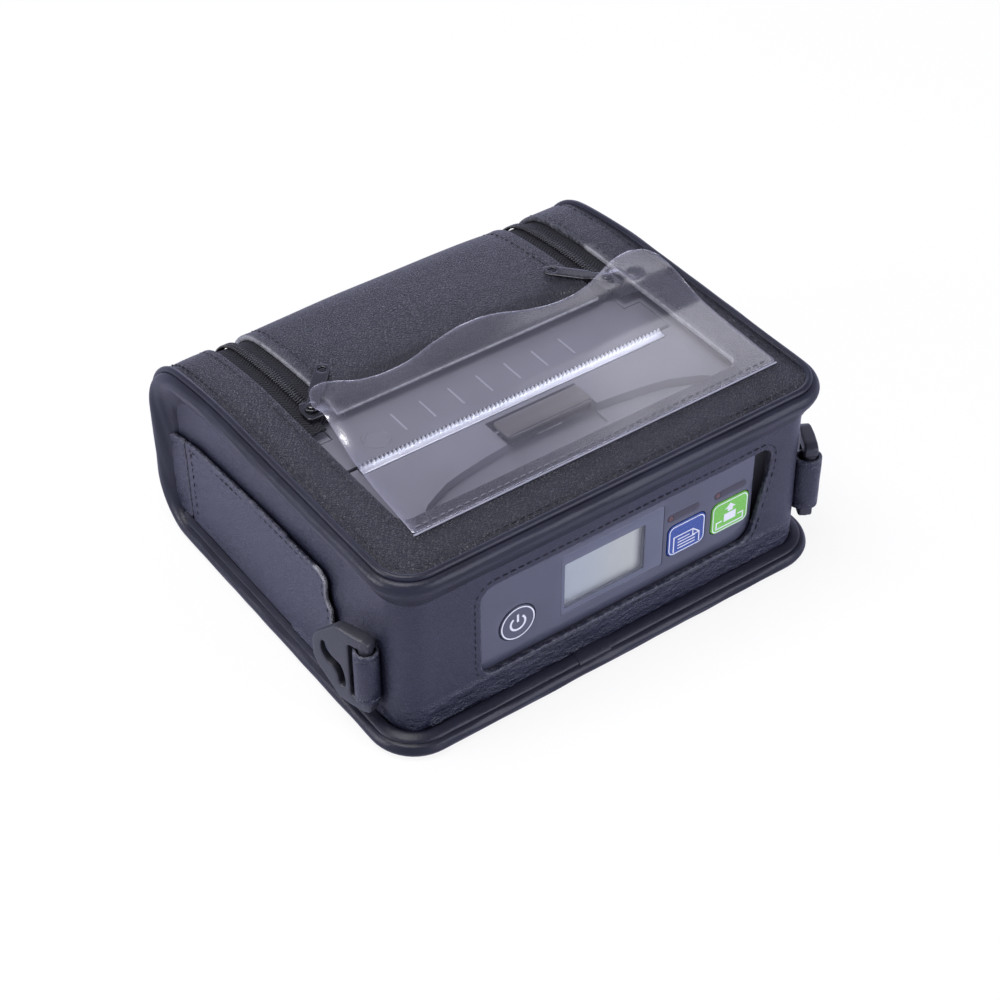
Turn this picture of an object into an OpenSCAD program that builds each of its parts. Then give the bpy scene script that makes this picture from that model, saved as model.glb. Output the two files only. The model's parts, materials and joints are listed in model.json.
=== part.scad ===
// Portable thermal printer for 4-inch rolls, inside its sewn carrying case.
// Millimetres. X runs across, the front faces -Y, Z is up from the surface it
// stands on. The origin is under the middle of the whole object. A "y" that is
// measured "from the front" starts at the outer face of the case's front wall.

/* [Case body] */
// Width over the case's side walls
case_w = 156; // [150:1:166]
// Depth from the front wall to the rear panel
case_d = 142; // [138:1:152]
// Height of the top panel
case_h = 71.2; // [70:0.2:76]
// Thickness of the leather with its lining
leather_t = 2; // [1.6:0.1:2.2]
// Plan radius of the upright front corners
corner_r = 10; // [7:0.5:13]
// Radius where the top turns down into the rear
back_top_r = 24; // [20:0.5:27]
// Radius where the rear turns under into the base
back_low_r = 20; // [16:0.5:22]
// Where the top panel starts to fall, from the front
fall_start = 88; // [82:1:94]
// Angle of the falling stretch of the top, degrees
fall_angle = 10; // [7:0.5:12]

/* [Edges] */
// Radius of the padded edge roll
roll_r = 2.6; // [2.2:0.1:2.9]
// Distance of the roll's centre line outside the walls
roll_out = 3.2; // [2.8:0.1:3.6]
// Radius of the thin piping in the seam
piping_r = 1.25; // [1:0.05:1.4]
// Distance of the piping's centre line outside the walls
piping_out = 1; // [0.7:0.1:1.3]

/* [Case openings] */
// Half width of the cut in the top and rear panel
slot_half = 63; // [62.8:0.1:64]
// Front edge of that cut, from the front
slot_front = 21; // [18:0.5:24]
// Front edge of the zipped flap, from the front
flap_front = 75; // [73:0.5:78]
// Half width of the zipped flap's leather
flap_half = 50.5; // [48:0.5:52]
// Height of the flap's hinge line above the ground
flap_hinge_z = 15; // [14:0.5:18]
// Distance of each zip from the middle
zip_x = 56.6; // [56.5:0.1:57.5]
// Left side of the front window
window_left = -50; // [-52:0.5:-49.5]
// Right side of the front window
window_right = 61; // [60:0.5:62]
// Lower side of the front window
window_low = 16.7; // [14:0.5:17.5]
// Upper side of the front window
window_high = 52; // [51:0.5:54]

/* [Printer] */
// Gap between the printer and the case
case_fit = 0.5; // [0.3:0.1:0.8]
// Drop of the printer's top face below the top panel
top_drop = 5.2; // [4.6:0.2:6.2]
// Wall of the moulded shells
shell_t = 2; // [1.6:0.1:2.2]
// Radius of the printer's long top shoulders
shoulder_r = 13; // [10:0.5:15]
// Height of the joint between the lower and upper shell
split_z = 15; // [14:0.5:18]
// Reach of the paper lid's front edge ahead of the case's rear
lid_reach = 87.7; // [87:0.1:87.7]
// Half width of the lid beside the tear bar
lid_wide = 62.3; // [62:0.1:62.5]
// Half width of the lid over the paper roll
lid_half = 56; // [55.8:0.1:56.2]
// Where the lid narrows, behind its front edge
lid_neck = 14.7; // [12.7:0.5:15.7]

/* [Paper path] */
// Width of the paper roll
paper_w = 110; // [104:1:110]
// Gap between a full paper roll and its trough, on radius
roll_slack = 1.5; // [1.5:0.5:8]
// Radius of the platen roller's rubber
platen_r = 5.5; // [5:0.1:5.7]
// Radius of the platen's steel shaft
shaft_r = 2; // [1.6:0.1:2.2]
// Running clearance on radius
run_gap = 0.05; // [0.02:0.01:0.08]
// Length of the serrated tear bar
tear_w = 115; // [112:1:118]
// Teeth on the tear bar
tear_teeth = 76; // [50:1:90]
// Gear module
gear_m = 0.6;
// Teeth of the platen gear
platen_teeth = 18;
// Teeth of the idler gear
idler_teeth = 24;
// Teeth of the motor pinion
motor_teeth = 14;

/* [Controls] */
// Left side of the control panel
panel_left = -52; // [-53:0.5:-51]
// Right side of the control panel
panel_right = 56.4; // [56.2:0.1:57.5]
// Lower side of the control panel
panel_low = 16; // [15.5:0.1:16.4]
// Upper side of the control panel
panel_high = 54; // [53.5:0.1:54.5]
// Radius of the power key
power_r = 6.6; // [5.5:0.1:7]
// Width of the print and feed keys
key_w = 15; // [13.5:0.1:15.2]
// Height of the print and feed keys
key_h = 12.4; // [11:0.1:13]
// Travel of the three keys
key_travel = 0.6; // [0.4:0.05:0.7]
// Gap around each key
key_gap = 0.15; // [0.1:0.05:0.25]

/* [Strap fittings] */
// Outer radius of the leather loops
loop_r = 4; // [3.8:0.1:4.4]
// Height of the leather loops
loop_h = 20; // [18:0.5:22]
// Where the loops stand, from the front
loop_y = 14; // [12:0.5:14]
// Reach of the plastic rings from their pin
ring_reach = 20.6; // [18:0.2:20.6]
// Height of the plastic rings
ring_h = 30; // [27:0.5:31]
// Radius of the ring's pin inside the loop
ring_pin_r = 2.4; // [2:0.1:2.6]

/* [Hidden] */

// Widest colours, as the object shows them
leather_c = [0.22, 0.22, 0.25];
edge_c = [0.25, 0.27, 0.32];
zip_c = [0.08, 0.08, 0.09];
shell_c = [0.62, 0.62, 0.68];
dark_c = [0.18, 0.18, 0.22];
steel_c = [0.75, 0.76, 0.78];
vinyl_c = [0.75, 0.77, 0.85, 0.35];

// Overall depth and the frame
roll_inset = 1.6;
front_lip = roll_out + roll_r;
piping_rise = 0.2;
rear_lip = max(roll_r - roll_inset, piping_r + piping_rise);
front = -(case_d + front_lip + rear_lip) / 2 + front_lip;
half_w = case_w / 2;
eps = 0.01;

// Points on an arc, from angle a0 to a1 in steps
function arc(cy, cz, r, a0, a1, n) =
    [for (i = [0:n]) [cy + r * cos(a0 + (a1 - a0) * i / n), cz + r * sin(a0 + (a1 - a0) * i / n)]];

// Side outline of a body whose top falls towards a rounded back. Points are
// (distance from the front wall, height)
function side_outline(y0, y1, z0, z1, r_top, r_low) =
    let (
        fall_y = y1 - r_top + r_top * sin(fall_angle),
        fall_r = (fall_y - fall_start) / sin(fall_angle),
        mid_z = z1 - fall_r * (1 - cos(fall_angle)) - r_top * cos(fall_angle)
    )
    concat(
        [[y0, z0], [y0, z1]],
        [for (p = arc(fall_start, z1 - fall_r, fall_r, 90, 90 - fall_angle, 5)) p],
        [for (i = [1:12]) arc(y1 - r_top, mid_z, r_top, 90 - fall_angle, 0, 12)[i]],
        arc(y1 - r_low, z0 + r_low, r_low, 0, -90, 8)
    );

// Case outline, moved in by e, with its front at y0
function case_outline(e, y0) =
    side_outline(y0, case_d - e, e, case_h - e, back_top_r - e, back_low_r - e);

// Height of the centre of the upper rear arc
fall_y = case_d - back_top_r + back_top_r * sin(fall_angle);
fall_r = (fall_y - fall_start) / sin(fall_angle);
back_z = case_h - fall_r * (1 - cos(fall_angle)) - back_top_r * cos(fall_angle);

// Prism along X from a side outline
module along_x(x0, x1, points) {
    translate([x0, front, 0])
        rotate([90, 0, 90])
            linear_extrude(x1 - x0) polygon(points);
}

// Box given by its corners; y is measured from the front wall
module box(x0, x1, y0, y1, z0, z1) {
    translate([x0, front + y0, z0]) cube([x1 - x0, y1 - y0, z1 - z0]);
}

// Cylinder along X; y is measured from the front wall
module rod(x0, x1, y, z, r, fn = 48) {
    translate([x0, front + y, z]) rotate([0, 90, 0]) cylinder(r = r, h = x1 - x0, $fn = fn);
}

// Cylinder along Y; y is measured from the front wall
module stub(x, y0, y1, z, r, fn = 48) {
    translate([x, front + y0, z]) rotate([-90, 0, 0]) cylinder(r = r, h = y1 - y0, $fn = fn);
}

// Shell that follows the case outline between the insets e0 and e1
module outline_skin(x0, x1, e0, e1) {
    difference() {
        along_x(x0, x1, case_outline(e0, e0));
        along_x(x0 - 1, x1 + 1, case_outline(e1, -1));
    }
}

// Plan shape with two round front corners of radius r about the case's own
// corner centres, from the front to y1
module round_front_plan(r, y1) {
    cx = half_w - corner_r;
    polygon(concat(
        [[cx + r, y1]],
        [for (i = [0:8]) [cx + r * cos(-90 * i / 8), corner_r + r * sin(-90 * i / 8)]],
        [for (i = [0:8]) [-cx + r * cos(-90 - 90 * i / 8), corner_r + r * sin(-90 - 90 * i / 8)]],
        [[-cx - r, y1]]
    ));
}

module plan_prism(r, y1, z0, z1) {
    translate([0, front, z0]) linear_extrude(z1 - z0) round_front_plan(r, y1);
}

// Rings of the closed tube along the case's edges: [centre, sideways outward
// direction, direction away from the panel]
function side_rings(s, out, inset, z_low) =
    let (
        x = s * (half_w + out),
        foot_r = back_low_r - leather_t,
        foot_y = case_d - inset - foot_r,
        bends = [
            [fall_start, case_h - fall_r, fall_r - inset, 90, 90 - fall_angle, 3],
            [case_d - back_top_r, back_z, back_top_r - inset, 90 - fall_angle, 0, 9],
            [foot_y, z_low + foot_r, foot_r, 0, -90, 9]
        ]
    )
    [for (b = bends) for (i = [b[0] == case_d - back_top_r ? 1 : 0:b[5]])
        let (a = b[3] + (b[4] - b[3]) * i / b[5])
            [[x, b[0] + b[2] * cos(a), b[1] + b[2] * sin(a)], [s, 0, 0], [0, cos(a), sin(a)]]];

function corner_rings(s, out, z, n, a0, a1) =
    [for (i = [0:9]) let (a = a0 + (a1 - a0) * i / 9, r = corner_r + out)
        [[s * (half_w - corner_r) + r * cos(a), corner_r + r * sin(a), z], [cos(a), sin(a), 0], [0, 0, n]]];

function reverse(v) = [for (i = [len(v) - 1:-1:0]) v[i]];

// out is how far the tube stands outside the walls, inset how far inside the
// top panel, z_low its height at the base
module edge_tube(r, out, inset, z_low) {
    sides = 20;
    top_z = case_h - inset;
    rings = concat(
        side_rings(-1, out, inset, z_low),
        corner_rings(-1, out, z_low, -1, 180, 270),
        corner_rings(1, out, z_low, -1, 270, 360),
        reverse(side_rings(1, out, inset, z_low)),
        corner_rings(1, out, top_z, 1, 360, 270),
        corner_rings(-1, out, top_z, 1, 270, 180)
    );
    n = len(rings);
    translate([0, front, 0]) polyhedron(
        points = [for (g = rings) for (k = [0:sides - 1])
            g[0] + r * cos(360 * k / sides) * g[1] + r * sin(360 * k / sides) * g[2]],
        faces = [for (i = [0:n - 1]) for (k = [0:sides - 1])
            let (j = (i + 1) % n, m = (k + 1) % sides)
                [i * sides + k, i * sides + m, j * sides + m, j * sides + k]]
    );
}

// Secondary sizes of the case
port_low = 17;
port_high = 31;
port_back = case_d - 34;
port_front = port_back - 48;
piping_low_z = 2 * roll_r - 0.8;

// Front wall and side walls, one strip that wraps round the front corners
module case_band() {
    inner_top = case_h - leather_t;
    color(leather_c) difference() {
        intersection() {
            plan_prism(corner_r, case_d, leather_t, inner_top);
            along_x(-half_w, half_w, side_outline(0, case_d - leather_t, leather_t, inner_top,
                back_top_r - leather_t, back_low_r - leather_t));
        }
        plan_prism(corner_r - leather_t, case_d + 1, 0, case_h);
        box(window_left, window_right, -1, leather_t + 1, window_low, window_high);
        box(-half_w - 1, -half_w + leather_t + 1, port_front, port_back, port_low, port_high);
    }
}

// Top and rear panel with the long cut that the printer shows through
module case_wrap_panel() {
    wide = half_w + roll_out / 2;
    color(leather_c) difference() {
        intersection() {
            outline_skin(-wide, wide, 0, leather_t);
            union() {
                plan_prism(corner_r, case_d / 2, case_h / 2, case_h + 1);
                box(-wide, wide, case_d / 2 - 1, case_d + 1, case_h / 2 - 1, case_h + 1);
                box(-wide, wide, case_d - back_low_r, case_d + 1, -1, case_h / 2);
            }
        }
        box(-slot_half, slot_half, slot_front, case_d + 1, flap_hinge_z, case_h + 1);
    }
}

module case_base_panel() {
    color(leather_c) plan_prism(corner_r + roll_out, case_d - back_low_r, 0, leather_t);
}

module edge_roll() {
    color(edge_c) edge_tube(roll_r, roll_out, roll_inset, roll_r);
}

module seam_piping() {
    color(edge_c) edge_tube(piping_r, piping_out, -piping_rise, piping_low_z);
}

// Clear cover, sewn along its front edge only
hem_y0 = 12.6;
hem_y1 = 14;
hem_left = -half_w + 14.3;
hem_right = half_w - 5.5;
hem_h = 1;
vinyl_t = 0.5;
vinyl_gap = 0.4;
vinyl_rise = 3.2;
vinyl_ramp = [56, 70];
vinyl_back = 92;

module vinyl_hem() {
    color(edge_c) box(hem_left, hem_right, hem_y0, hem_y1, case_h, case_h + hem_h);
}

// Outline from above, with the wavy free edge: (share of the hem's length from
// its left end, distance from the front)
vinyl_plan = [
    [0.0015, 14.1], [0.0162, 38], [0.036, 58], [0.0492, 72], [0.0455, 78], [0.0639, 83.5],
    [0.1006, 85], [0.1373, 82], [0.174, 78.5], [0.2327, 76.8], [0.3062, 77.5], [0.3796, 80.5],
    [0.4677, 83], [0.5264, 83], [0.5778, 80.5], [0.6366, 76.5], [0.6953, 74.8], [0.754, 74.6],
    [0.8128, 76.5], [0.8642, 79.5], [0.9229, 83.2], [0.9743, 83.6], [1.011, 80.5], [1.0198, 76],
    [1.0066, 44], [1, 14.1]
];

module vinyl_cover() {
    z0 = case_h + vinyl_gap;
    z1 = z0 + vinyl_rise;
    vinyl_y0 = hem_y1 + 0.15;
    color(vinyl_c) intersection() {
        along_x(-half_w, half_w, [
            [vinyl_y0, z0], [vinyl_ramp[0], z0], [vinyl_ramp[1], z1], [vinyl_back, z1],
            [vinyl_back, z1 + vinyl_t], [vinyl_ramp[1], z1 + vinyl_t],
            [vinyl_ramp[0], z0 + vinyl_t], [vinyl_y0, z0 + vinyl_t]
        ]);
        translate([0, front, case_h]) linear_extrude(2 * vinyl_rise)
            polygon([for (p = vinyl_plan) [hem_left + p[0] * (hem_right - hem_left), p[1]]]);
    }
}

// Zipped rear flap with its tapes and coils. The zip runs along both sides of
// the flap, from its front edge over the rear to the hinge line
tape_t = 0.7;
tape_under = 3;
coil_half = 1.3;
coil_h = 1.1;
zip_gap = 0.1;
hinge_gap = 0.3;

// Skin cut to the flap's length, from an extra distance past its front edge
module zip_strip(x0, x1, e0, e1, z0) {
    intersection() {
        outline_skin(x0, x1, e0, e1);
        box(x0 - 1, x1 + 1, flap_front, case_d + 1, z0, case_h + 1);
    }
}

module both_sides() {
    children();
    mirror([1, 0, 0]) children();
}

module rear_flap() {
    color(leather_c) zip_strip(-flap_half, flap_half, 0, leather_t, flap_hinge_z + hinge_gap);
}

module zip_tape_flap() {
    color(zip_c) both_sides()
        zip_strip(flap_half - tape_under, zip_x - zip_gap / 2, leather_t, leather_t + tape_t,
            flap_hinge_z + hinge_gap);
}

module zip_tape_case() {
    color(zip_c) both_sides()
        zip_strip(zip_x + zip_gap / 2, slot_half + tape_under, leather_t, leather_t + tape_t,
            flap_hinge_z);
}

module zip_coil_flap() {
    color(zip_c) both_sides()
        zip_strip(zip_x - coil_half - zip_gap / 2, zip_x - zip_gap / 2, leather_t - coil_h, leather_t,
            flap_hinge_z + stop_h);
}

module zip_coil_case() {
    color(zip_c) both_sides()
        zip_strip(zip_x + zip_gap / 2, zip_x + coil_half + zip_gap / 2, leather_t - coil_h, leather_t,
            flap_hinge_z + stop_h);
}

stop_h = 3;
module zip_end_stops() {
    color(steel_c) both_sides() intersection() {
        zip_strip(zip_x + zip_gap / 2, zip_x + coil_half + zip_gap / 2, leather_t - coil_h, leather_t, flap_hinge_z);
        box(0, half_w, case_d / 2, case_d, 0, flap_hinge_z + stop_h - zip_gap);
    }
}

// Slider: a top plate over both coils with an upright post for its pull
slider_len = 8.5;
slider_w = 7;
slider_t = 1;
slider_clear = 0.25;
slider_post_r = 1;
slider_post_h = 1.8;
slider_head_r = 1.7;
slider_head_t = 0.5;
slider_y = flap_front + slider_len / 2;
slider_z = case_h - leather_t + coil_h + slider_clear;
pull_len = 21;
pull_w = 5;
pull_t = 0.9;
pull_heading = 42;

module zip_slider(side) {
    w0 = slider_w * 0.62;
    color(zip_c) translate([side * zip_x, front + slider_y, slider_z]) {
        linear_extrude(slider_t) polygon([
            [-w0 / 2, slider_len / 2], [w0 / 2, slider_len / 2], [slider_w / 2, slider_len / 6],
            [slider_w / 2, -slider_len / 2], [-slider_w / 2, -slider_len / 2], [-slider_w / 2, slider_len / 6]
        ]);
        cylinder(r = slider_post_r, h = slider_t + slider_post_h, $fn = 24);
        translate([0, 0, slider_t + slider_post_h - slider_head_t])
            cylinder(r = slider_head_r, h = slider_head_t, $fn = 24);
    }
}

module zip_pull(side) {
    eye_r = slider_post_r + 0.3;
    end_r = pull_w / 2;
    color(zip_c) translate([side * zip_x, front + slider_y, slider_z + slider_t + 0.15])
        rotate([0, 0, side * pull_heading]) difference() {
            union() {
                cylinder(r = slider_post_r + 1.3, h = pull_t, $fn = 32);
                translate([-pull_w / 3, 0, 0]) cube([pull_w * 2 / 3, pull_len - end_r, pull_t]);
                translate([-end_r, pull_len * 0.35, 0]) cube([pull_w, pull_len * 0.65 - end_r, pull_t]);
                translate([0, pull_len - end_r, 0]) cylinder(r = end_r, h = pull_t, $fn = 32);
            }
            translate([0, 0, -1]) cylinder(r = eye_r, h = pull_t + 2, $fn = 32);
            translate([0, pull_len - end_r, -1]) cylinder(r = end_r * 0.5, h = pull_t + 2, $fn = 32);
        }
}

// Port cover on the left wall: a flap, its sewn strip and its fastener patch
side_gap = 0.3;
side_t = 1.6;
side_seam = case_d - 19.5;
side_front = port_front - 25;
side_low = 7.5;
// Upper edges as (distance behind the flap's front or the seam, height)
side_edge = [[0, 39], [3.5, 45.5], [6.5, 46.6], [40, 45.4], [80, 42.4]];
side_edge_end = 40.8;
anchor_edge = [[8.5, 38.4], [13, 34.5], [14.5, 29], [14.5, 20], [11.5, 12.5], [7, side_low]];
patch = [5, 21, 12, 38];

module side_sheet(outline) {
    translate([-half_w - side_gap - side_t, front, 0]) rotate([90, 0, 90])
        linear_extrude(side_t) polygon(outline);
}

module side_flap() {
    seam = side_seam - side_gap;
    color(leather_c) side_sheet(concat(
        [[side_front, side_low]],
        [for (p = side_edge) [side_front + p[0], p[1]]],
        [[seam, side_edge_end], [seam, side_low]]
    ));
}

module side_flap_anchor() {
    seam = side_seam + side_gap;
    color(leather_c) side_sheet(concat(
        [[seam, side_low], [seam, side_edge_end]],
        [for (p = anchor_edge) [side_seam + p[0], p[1]]]
    ));
}

module side_flap_fastener() {
    color(zip_c) box(-half_w - side_gap + 0.05, -half_w, side_front + patch[0], side_front + patch[1],
        patch[2], patch[3]);
}

// Strap loops and the plastic rings that swing in them
loop_wall = 1.2;
loop_low = 16;
loop_flat = 0.4;
loop_x = half_w + loop_r - loop_flat;
ring_z = loop_low + loop_h / 2;
ring_yaw = 17;
ring_t = 4.4;
ring_tip_t = 1.6;
ring_web = loop_r + 0.5;
ring_arm = ring_h / 2 - loop_h / 2 - 0.4;
// The right fitting is sewn further forward, round the front corner: its
// turn about that corner, how far it stands off, and its ring's own heading
right_turn = 25;
right_stand = 1.4;
right_yaw = 5;

// Moves a fitting from its pin to its place on the case
module at_pin(side) {
    if (side < 0) translate([-loop_x, front + loop_y, 0]) children();
    else translate([half_w - corner_r, front + corner_r, 0]) rotate([0, 0, -right_turn])
        translate([corner_r + loop_r - loop_flat + right_stand, 0, 0]) children();
}

module strap_loop(side) {
    neck = loop_r - loop_flat + (side > 0 ? right_stand + 0.5 : 0);
    color(leather_c) difference() {
        at_pin(side) translate([0, 0, loop_low]) difference() {
            union() {
                cylinder(r = loop_r, h = loop_h, $fn = 48);
                translate([side > 0 ? -neck : 0, -loop_r / 2, 0]) cube([neck, loop_r, loop_h]);
            }
            translate([0, 0, -1]) cylinder(r = loop_r - loop_wall, h = loop_h + 2, $fn = 48);
            translate([side > 0 ? -neck - 2 * loop_r : neck, -loop_r, -1])
                cube([2 * loop_r, 2 * loop_r, loop_h + 2]);
        }
        if (side > 0) plan_prism(corner_r, case_d, 0, case_h);
    }
}

// Slanted S-shaped strap slot: (reach from the pin, height from the middle)
ring_slot = [
    [16.6, 4.8], [14.4, 4.4], [13.2, 1.6], [11.4, 0.4], [9, -0.6], [7.6, -4], [7.4, -8.6],
    [9.8, -9.2], [10.6, -5.8], [12.2, -3.6], [15, -2.4], [17, 0.6]
];

module strap_ring(side) {
    h = ring_h / 2;
    color(dark_c) at_pin(side) translate([0, 0, ring_z])
        rotate([0, 0, side > 0 ? -right_yaw : ring_yaw]) {
            difference() {
                intersection() {
                    rotate([90, 0, 90]) translate([0, 0, -ring_t]) linear_extrude(2 * ring_t) polygon([
                        [-ring_pin_r, -h + 1], [0, -h], [ring_reach - 10.5, -h], [ring_reach - 1.6, -h * 0.43],
                        [ring_reach, -h * 0.2], [ring_reach, h * 0.2], [ring_reach - 1.6, h * 0.43],
                        [ring_reach - 10.5, h], [0, h], [-ring_pin_r, h - 1]
                    ]);
                    translate([0, 0, -h]) linear_extrude(ring_h) polygon([
                        [-ring_t / 2, -ring_pin_r], [ring_t / 2, -ring_pin_r], [ring_t / 2, 5],
                        [ring_tip_t / 2, ring_reach], [-ring_tip_t / 2, ring_reach], [-ring_t / 2, 5]
                    ]);
                }
                translate([-ring_t, -loop_r - 1, -h + ring_arm])
                    cube([2 * ring_t, loop_r + 1 + ring_web + 0.9, ring_h - 2 * ring_arm]);
                rotate([90, 0, 90]) translate([0, 0, -ring_t]) linear_extrude(2 * ring_t) polygon(ring_slot);
            }
            translate([0, 0, -h + 1]) cylinder(r = ring_pin_r, h = ring_h - 2, $fn = 32);
        }
}

// Printer body. The outer form is the side outline, a cross-section with
// round shoulders and a plan with round front corners, all moved in by e
printer_r = corner_r - leather_t - case_fit;
printer_half = half_w - leather_t - case_fit;
printer_front = leather_t + case_fit;
printer_h = case_h - top_drop;
lid_front = case_d - lid_reach;
platen_y = lid_front + 4.7;
platen_z = printer_h - 9;
beam_y0 = platen_y - 18.5;
beam_y1 = beam_y0 + 1.5;
frame_back = platen_y + 3;
cheek_x0 = paper_w / 2 + 1.3;
cheek_t = 1.6;
cheek_x1 = cheek_x0 + cheek_t;
printer_back = case_d - leather_t - tape_t - case_fit;
printer_low = leather_t + 0.3;
printer_top_r = back_top_r - (case_d - printer_back);
printer_low_r = back_low_r - (case_d - printer_back);
joint_gap = 0.2;

module cross_section(e) {
    w = printer_half - e;
    r = shoulder_r - e;
    foot = 4;
    translate([0, front + case_d, 0]) rotate([90, 0, 0]) linear_extrude(case_d) polygon(concat(
        arc(w - r, printer_h - e - r, r, 0, 90, 8),
        arc(-w + r, printer_h - e - r, r, 90, 180, 8),
        [[-w, printer_low + foot], [-w + foot, printer_low + e], [w - foot, printer_low + e], [w, printer_low + foot]]
    ));
}

module printer_body(e) {
    intersection() {
        along_x(-printer_half, printer_half, side_outline(printer_front + e, printer_back - e,
            printer_low + e, printer_h - e, printer_top_r - e, printer_low_r - e));
        plan_prism(printer_r - e, case_d, 0, case_h);
        cross_section(e);
    }
}

// Screws join the two shells at four posts
screw_x = (printer_half - shell_t + cheek_x1) / 2;
screw_front = 22;
screw_back = port_back + 10;
screw_spots = [for (y = [screw_front, screw_back], x = [-screw_x, screw_x]) [x, y]];
screw_r = 1.25;
screw_head_r = 2.6;
screw_head_t = 2;
screw_len = 22;
post_r = 3.4;
floor_z = printer_low + shell_t;

module at_screws() {
    for (p = screw_spots) translate([p[0], front + p[1], 0]) children();
}

// Battery bay under the front half
bay = [41, 9, 47];
cell_r = 9.4;
cell_half = 34;
cell_gap = 2.2;
main_half = 57;
main_front = 13;
main_z = 27;
main_back = beam_y0 - 1.5;
main_post_r = 2;
main_inset = [5, 3];
main_posts = [for (y = [main_front + main_inset[1], main_back - main_inset[1]],
    x = [-main_half + main_inset[0], main_half - main_inset[0]]) [x, y]];

module lower_shell() {
    color(shell_c) difference() {
        union() {
            difference() {
                printer_body(0);
                printer_body(shell_t);
                box(-case_w, case_w, -1, case_d, split_z, case_h);
            }
            at_screws() translate([0, 0, floor_z - eps])
                cylinder(r = post_r, h = split_z - floor_z + eps, $fn = 32);
            for (p = main_posts) translate([p[0], front + p[1], floor_z - eps])
                cylinder(r = main_post_r, h = main_z - floor_z + eps, $fn = 24);
        }
        at_screws() {
            translate([0, 0, -1]) cylinder(r = screw_r + 0.15, h = split_z + 2, $fn = 24);
            translate([0, 0, -1]) cylinder(r = screw_head_r + 0.2, h = printer_low + screw_head_t + 1.1, $fn = 32);
        }
        box(-bay[0], bay[0], bay[1], bay[2], -1, floor_z + 0.5);
    }
}

module shell_screws() {
    color(steel_c) at_screws() translate([0, 0, printer_low + 0.1]) {
        cylinder(r = screw_head_r, h = screw_head_t, $fn = 32);
        cylinder(r = screw_r, h = screw_len, $fn = 24);
    }
}

module battery_door() {
    g = joint_gap;
    color(shell_c) box(-bay[0] + g, bay[0] - g, bay[1] + g, bay[2] - g, printer_low, floor_z);
}

module battery_pack() {
    z = floor_z + 0.2 + cell_r;
    y0 = bay[1] + cell_gap + cell_r;
    y1 = y0 + 2 * cell_r - 2;
    color([0.2, 0.3, 0.5]) {
        rod(-cell_half, cell_half, y0, z, cell_r);
        rod(-cell_half, cell_half, y1, z, cell_r);
        box(-cell_half, cell_half, y0, y1, z - cell_r, z + cell_r);
    }
}

// Deck in front of the tear bar, with a finger scoop and the lever's pocket
deck_z = printer_h - 6;
neck_y = lid_front + lid_neck;
deck_back = lid_front - 1.4;
deck_fill_back = lid_front - 4.3;
scoop_z = printer_h - 3.4;
// Scoop outline: (x, distance ahead of the lid's front edge)
scoop = [
    [-55.5, 32.3], [-52.9, 29.8], [-49.5, 26.8], [-45.1, 24.6], [-39.4, 22.1], [-33.4, 20.8],
    [-23.2, 19.2], [-13.3, 18.1], [18.3, 18.1], [28.2, 19.2], [38.4, 20.8], [44.4, 22.1],
    [50.1, 24.6], [54.5, 26.8], [57.9, 29.8], [60.5, 32.3], [60.5, 45.3], [-55.5, 45.3]
];
lever_left = -13.5;
lever_right = 18.5;
lever_front = lid_front - 17.8;
lever_back = lid_front - 8.9;
lever_t = 1.7;
lever_rise = 0.25;
lever_web = 2.8;
lever_pin_y = lid_front - 10.7;
lever_pin_z = printer_h - 2.4;
lever_pin_r = 1;
pocket_z = printer_h - 4.7;
pocket_front = lid_front - 24.3;
pocket_back = lid_front - 6.3;
lug_w = 3;
lid_gap = 0.3;
recess_right = printer_half - 10.5;
recess_deep = 7;
pin_y = printer_back - 5;
pin_z = printer_h - 22;
pin_r = 1.6;
barrel_r = 5;
lug_inner = 41;
lug_outer = 51;
rear_wall_top = pin_z - barrel_r - 0.5;

module lid_space(g) {
    box(-lid_wide - g, lid_wide + g, lid_front - g, neck_y + g, pin_z, case_h);
    box(-lid_half - g, lid_half + g, neck_y, case_d, pin_z - g, case_h);
}

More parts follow.
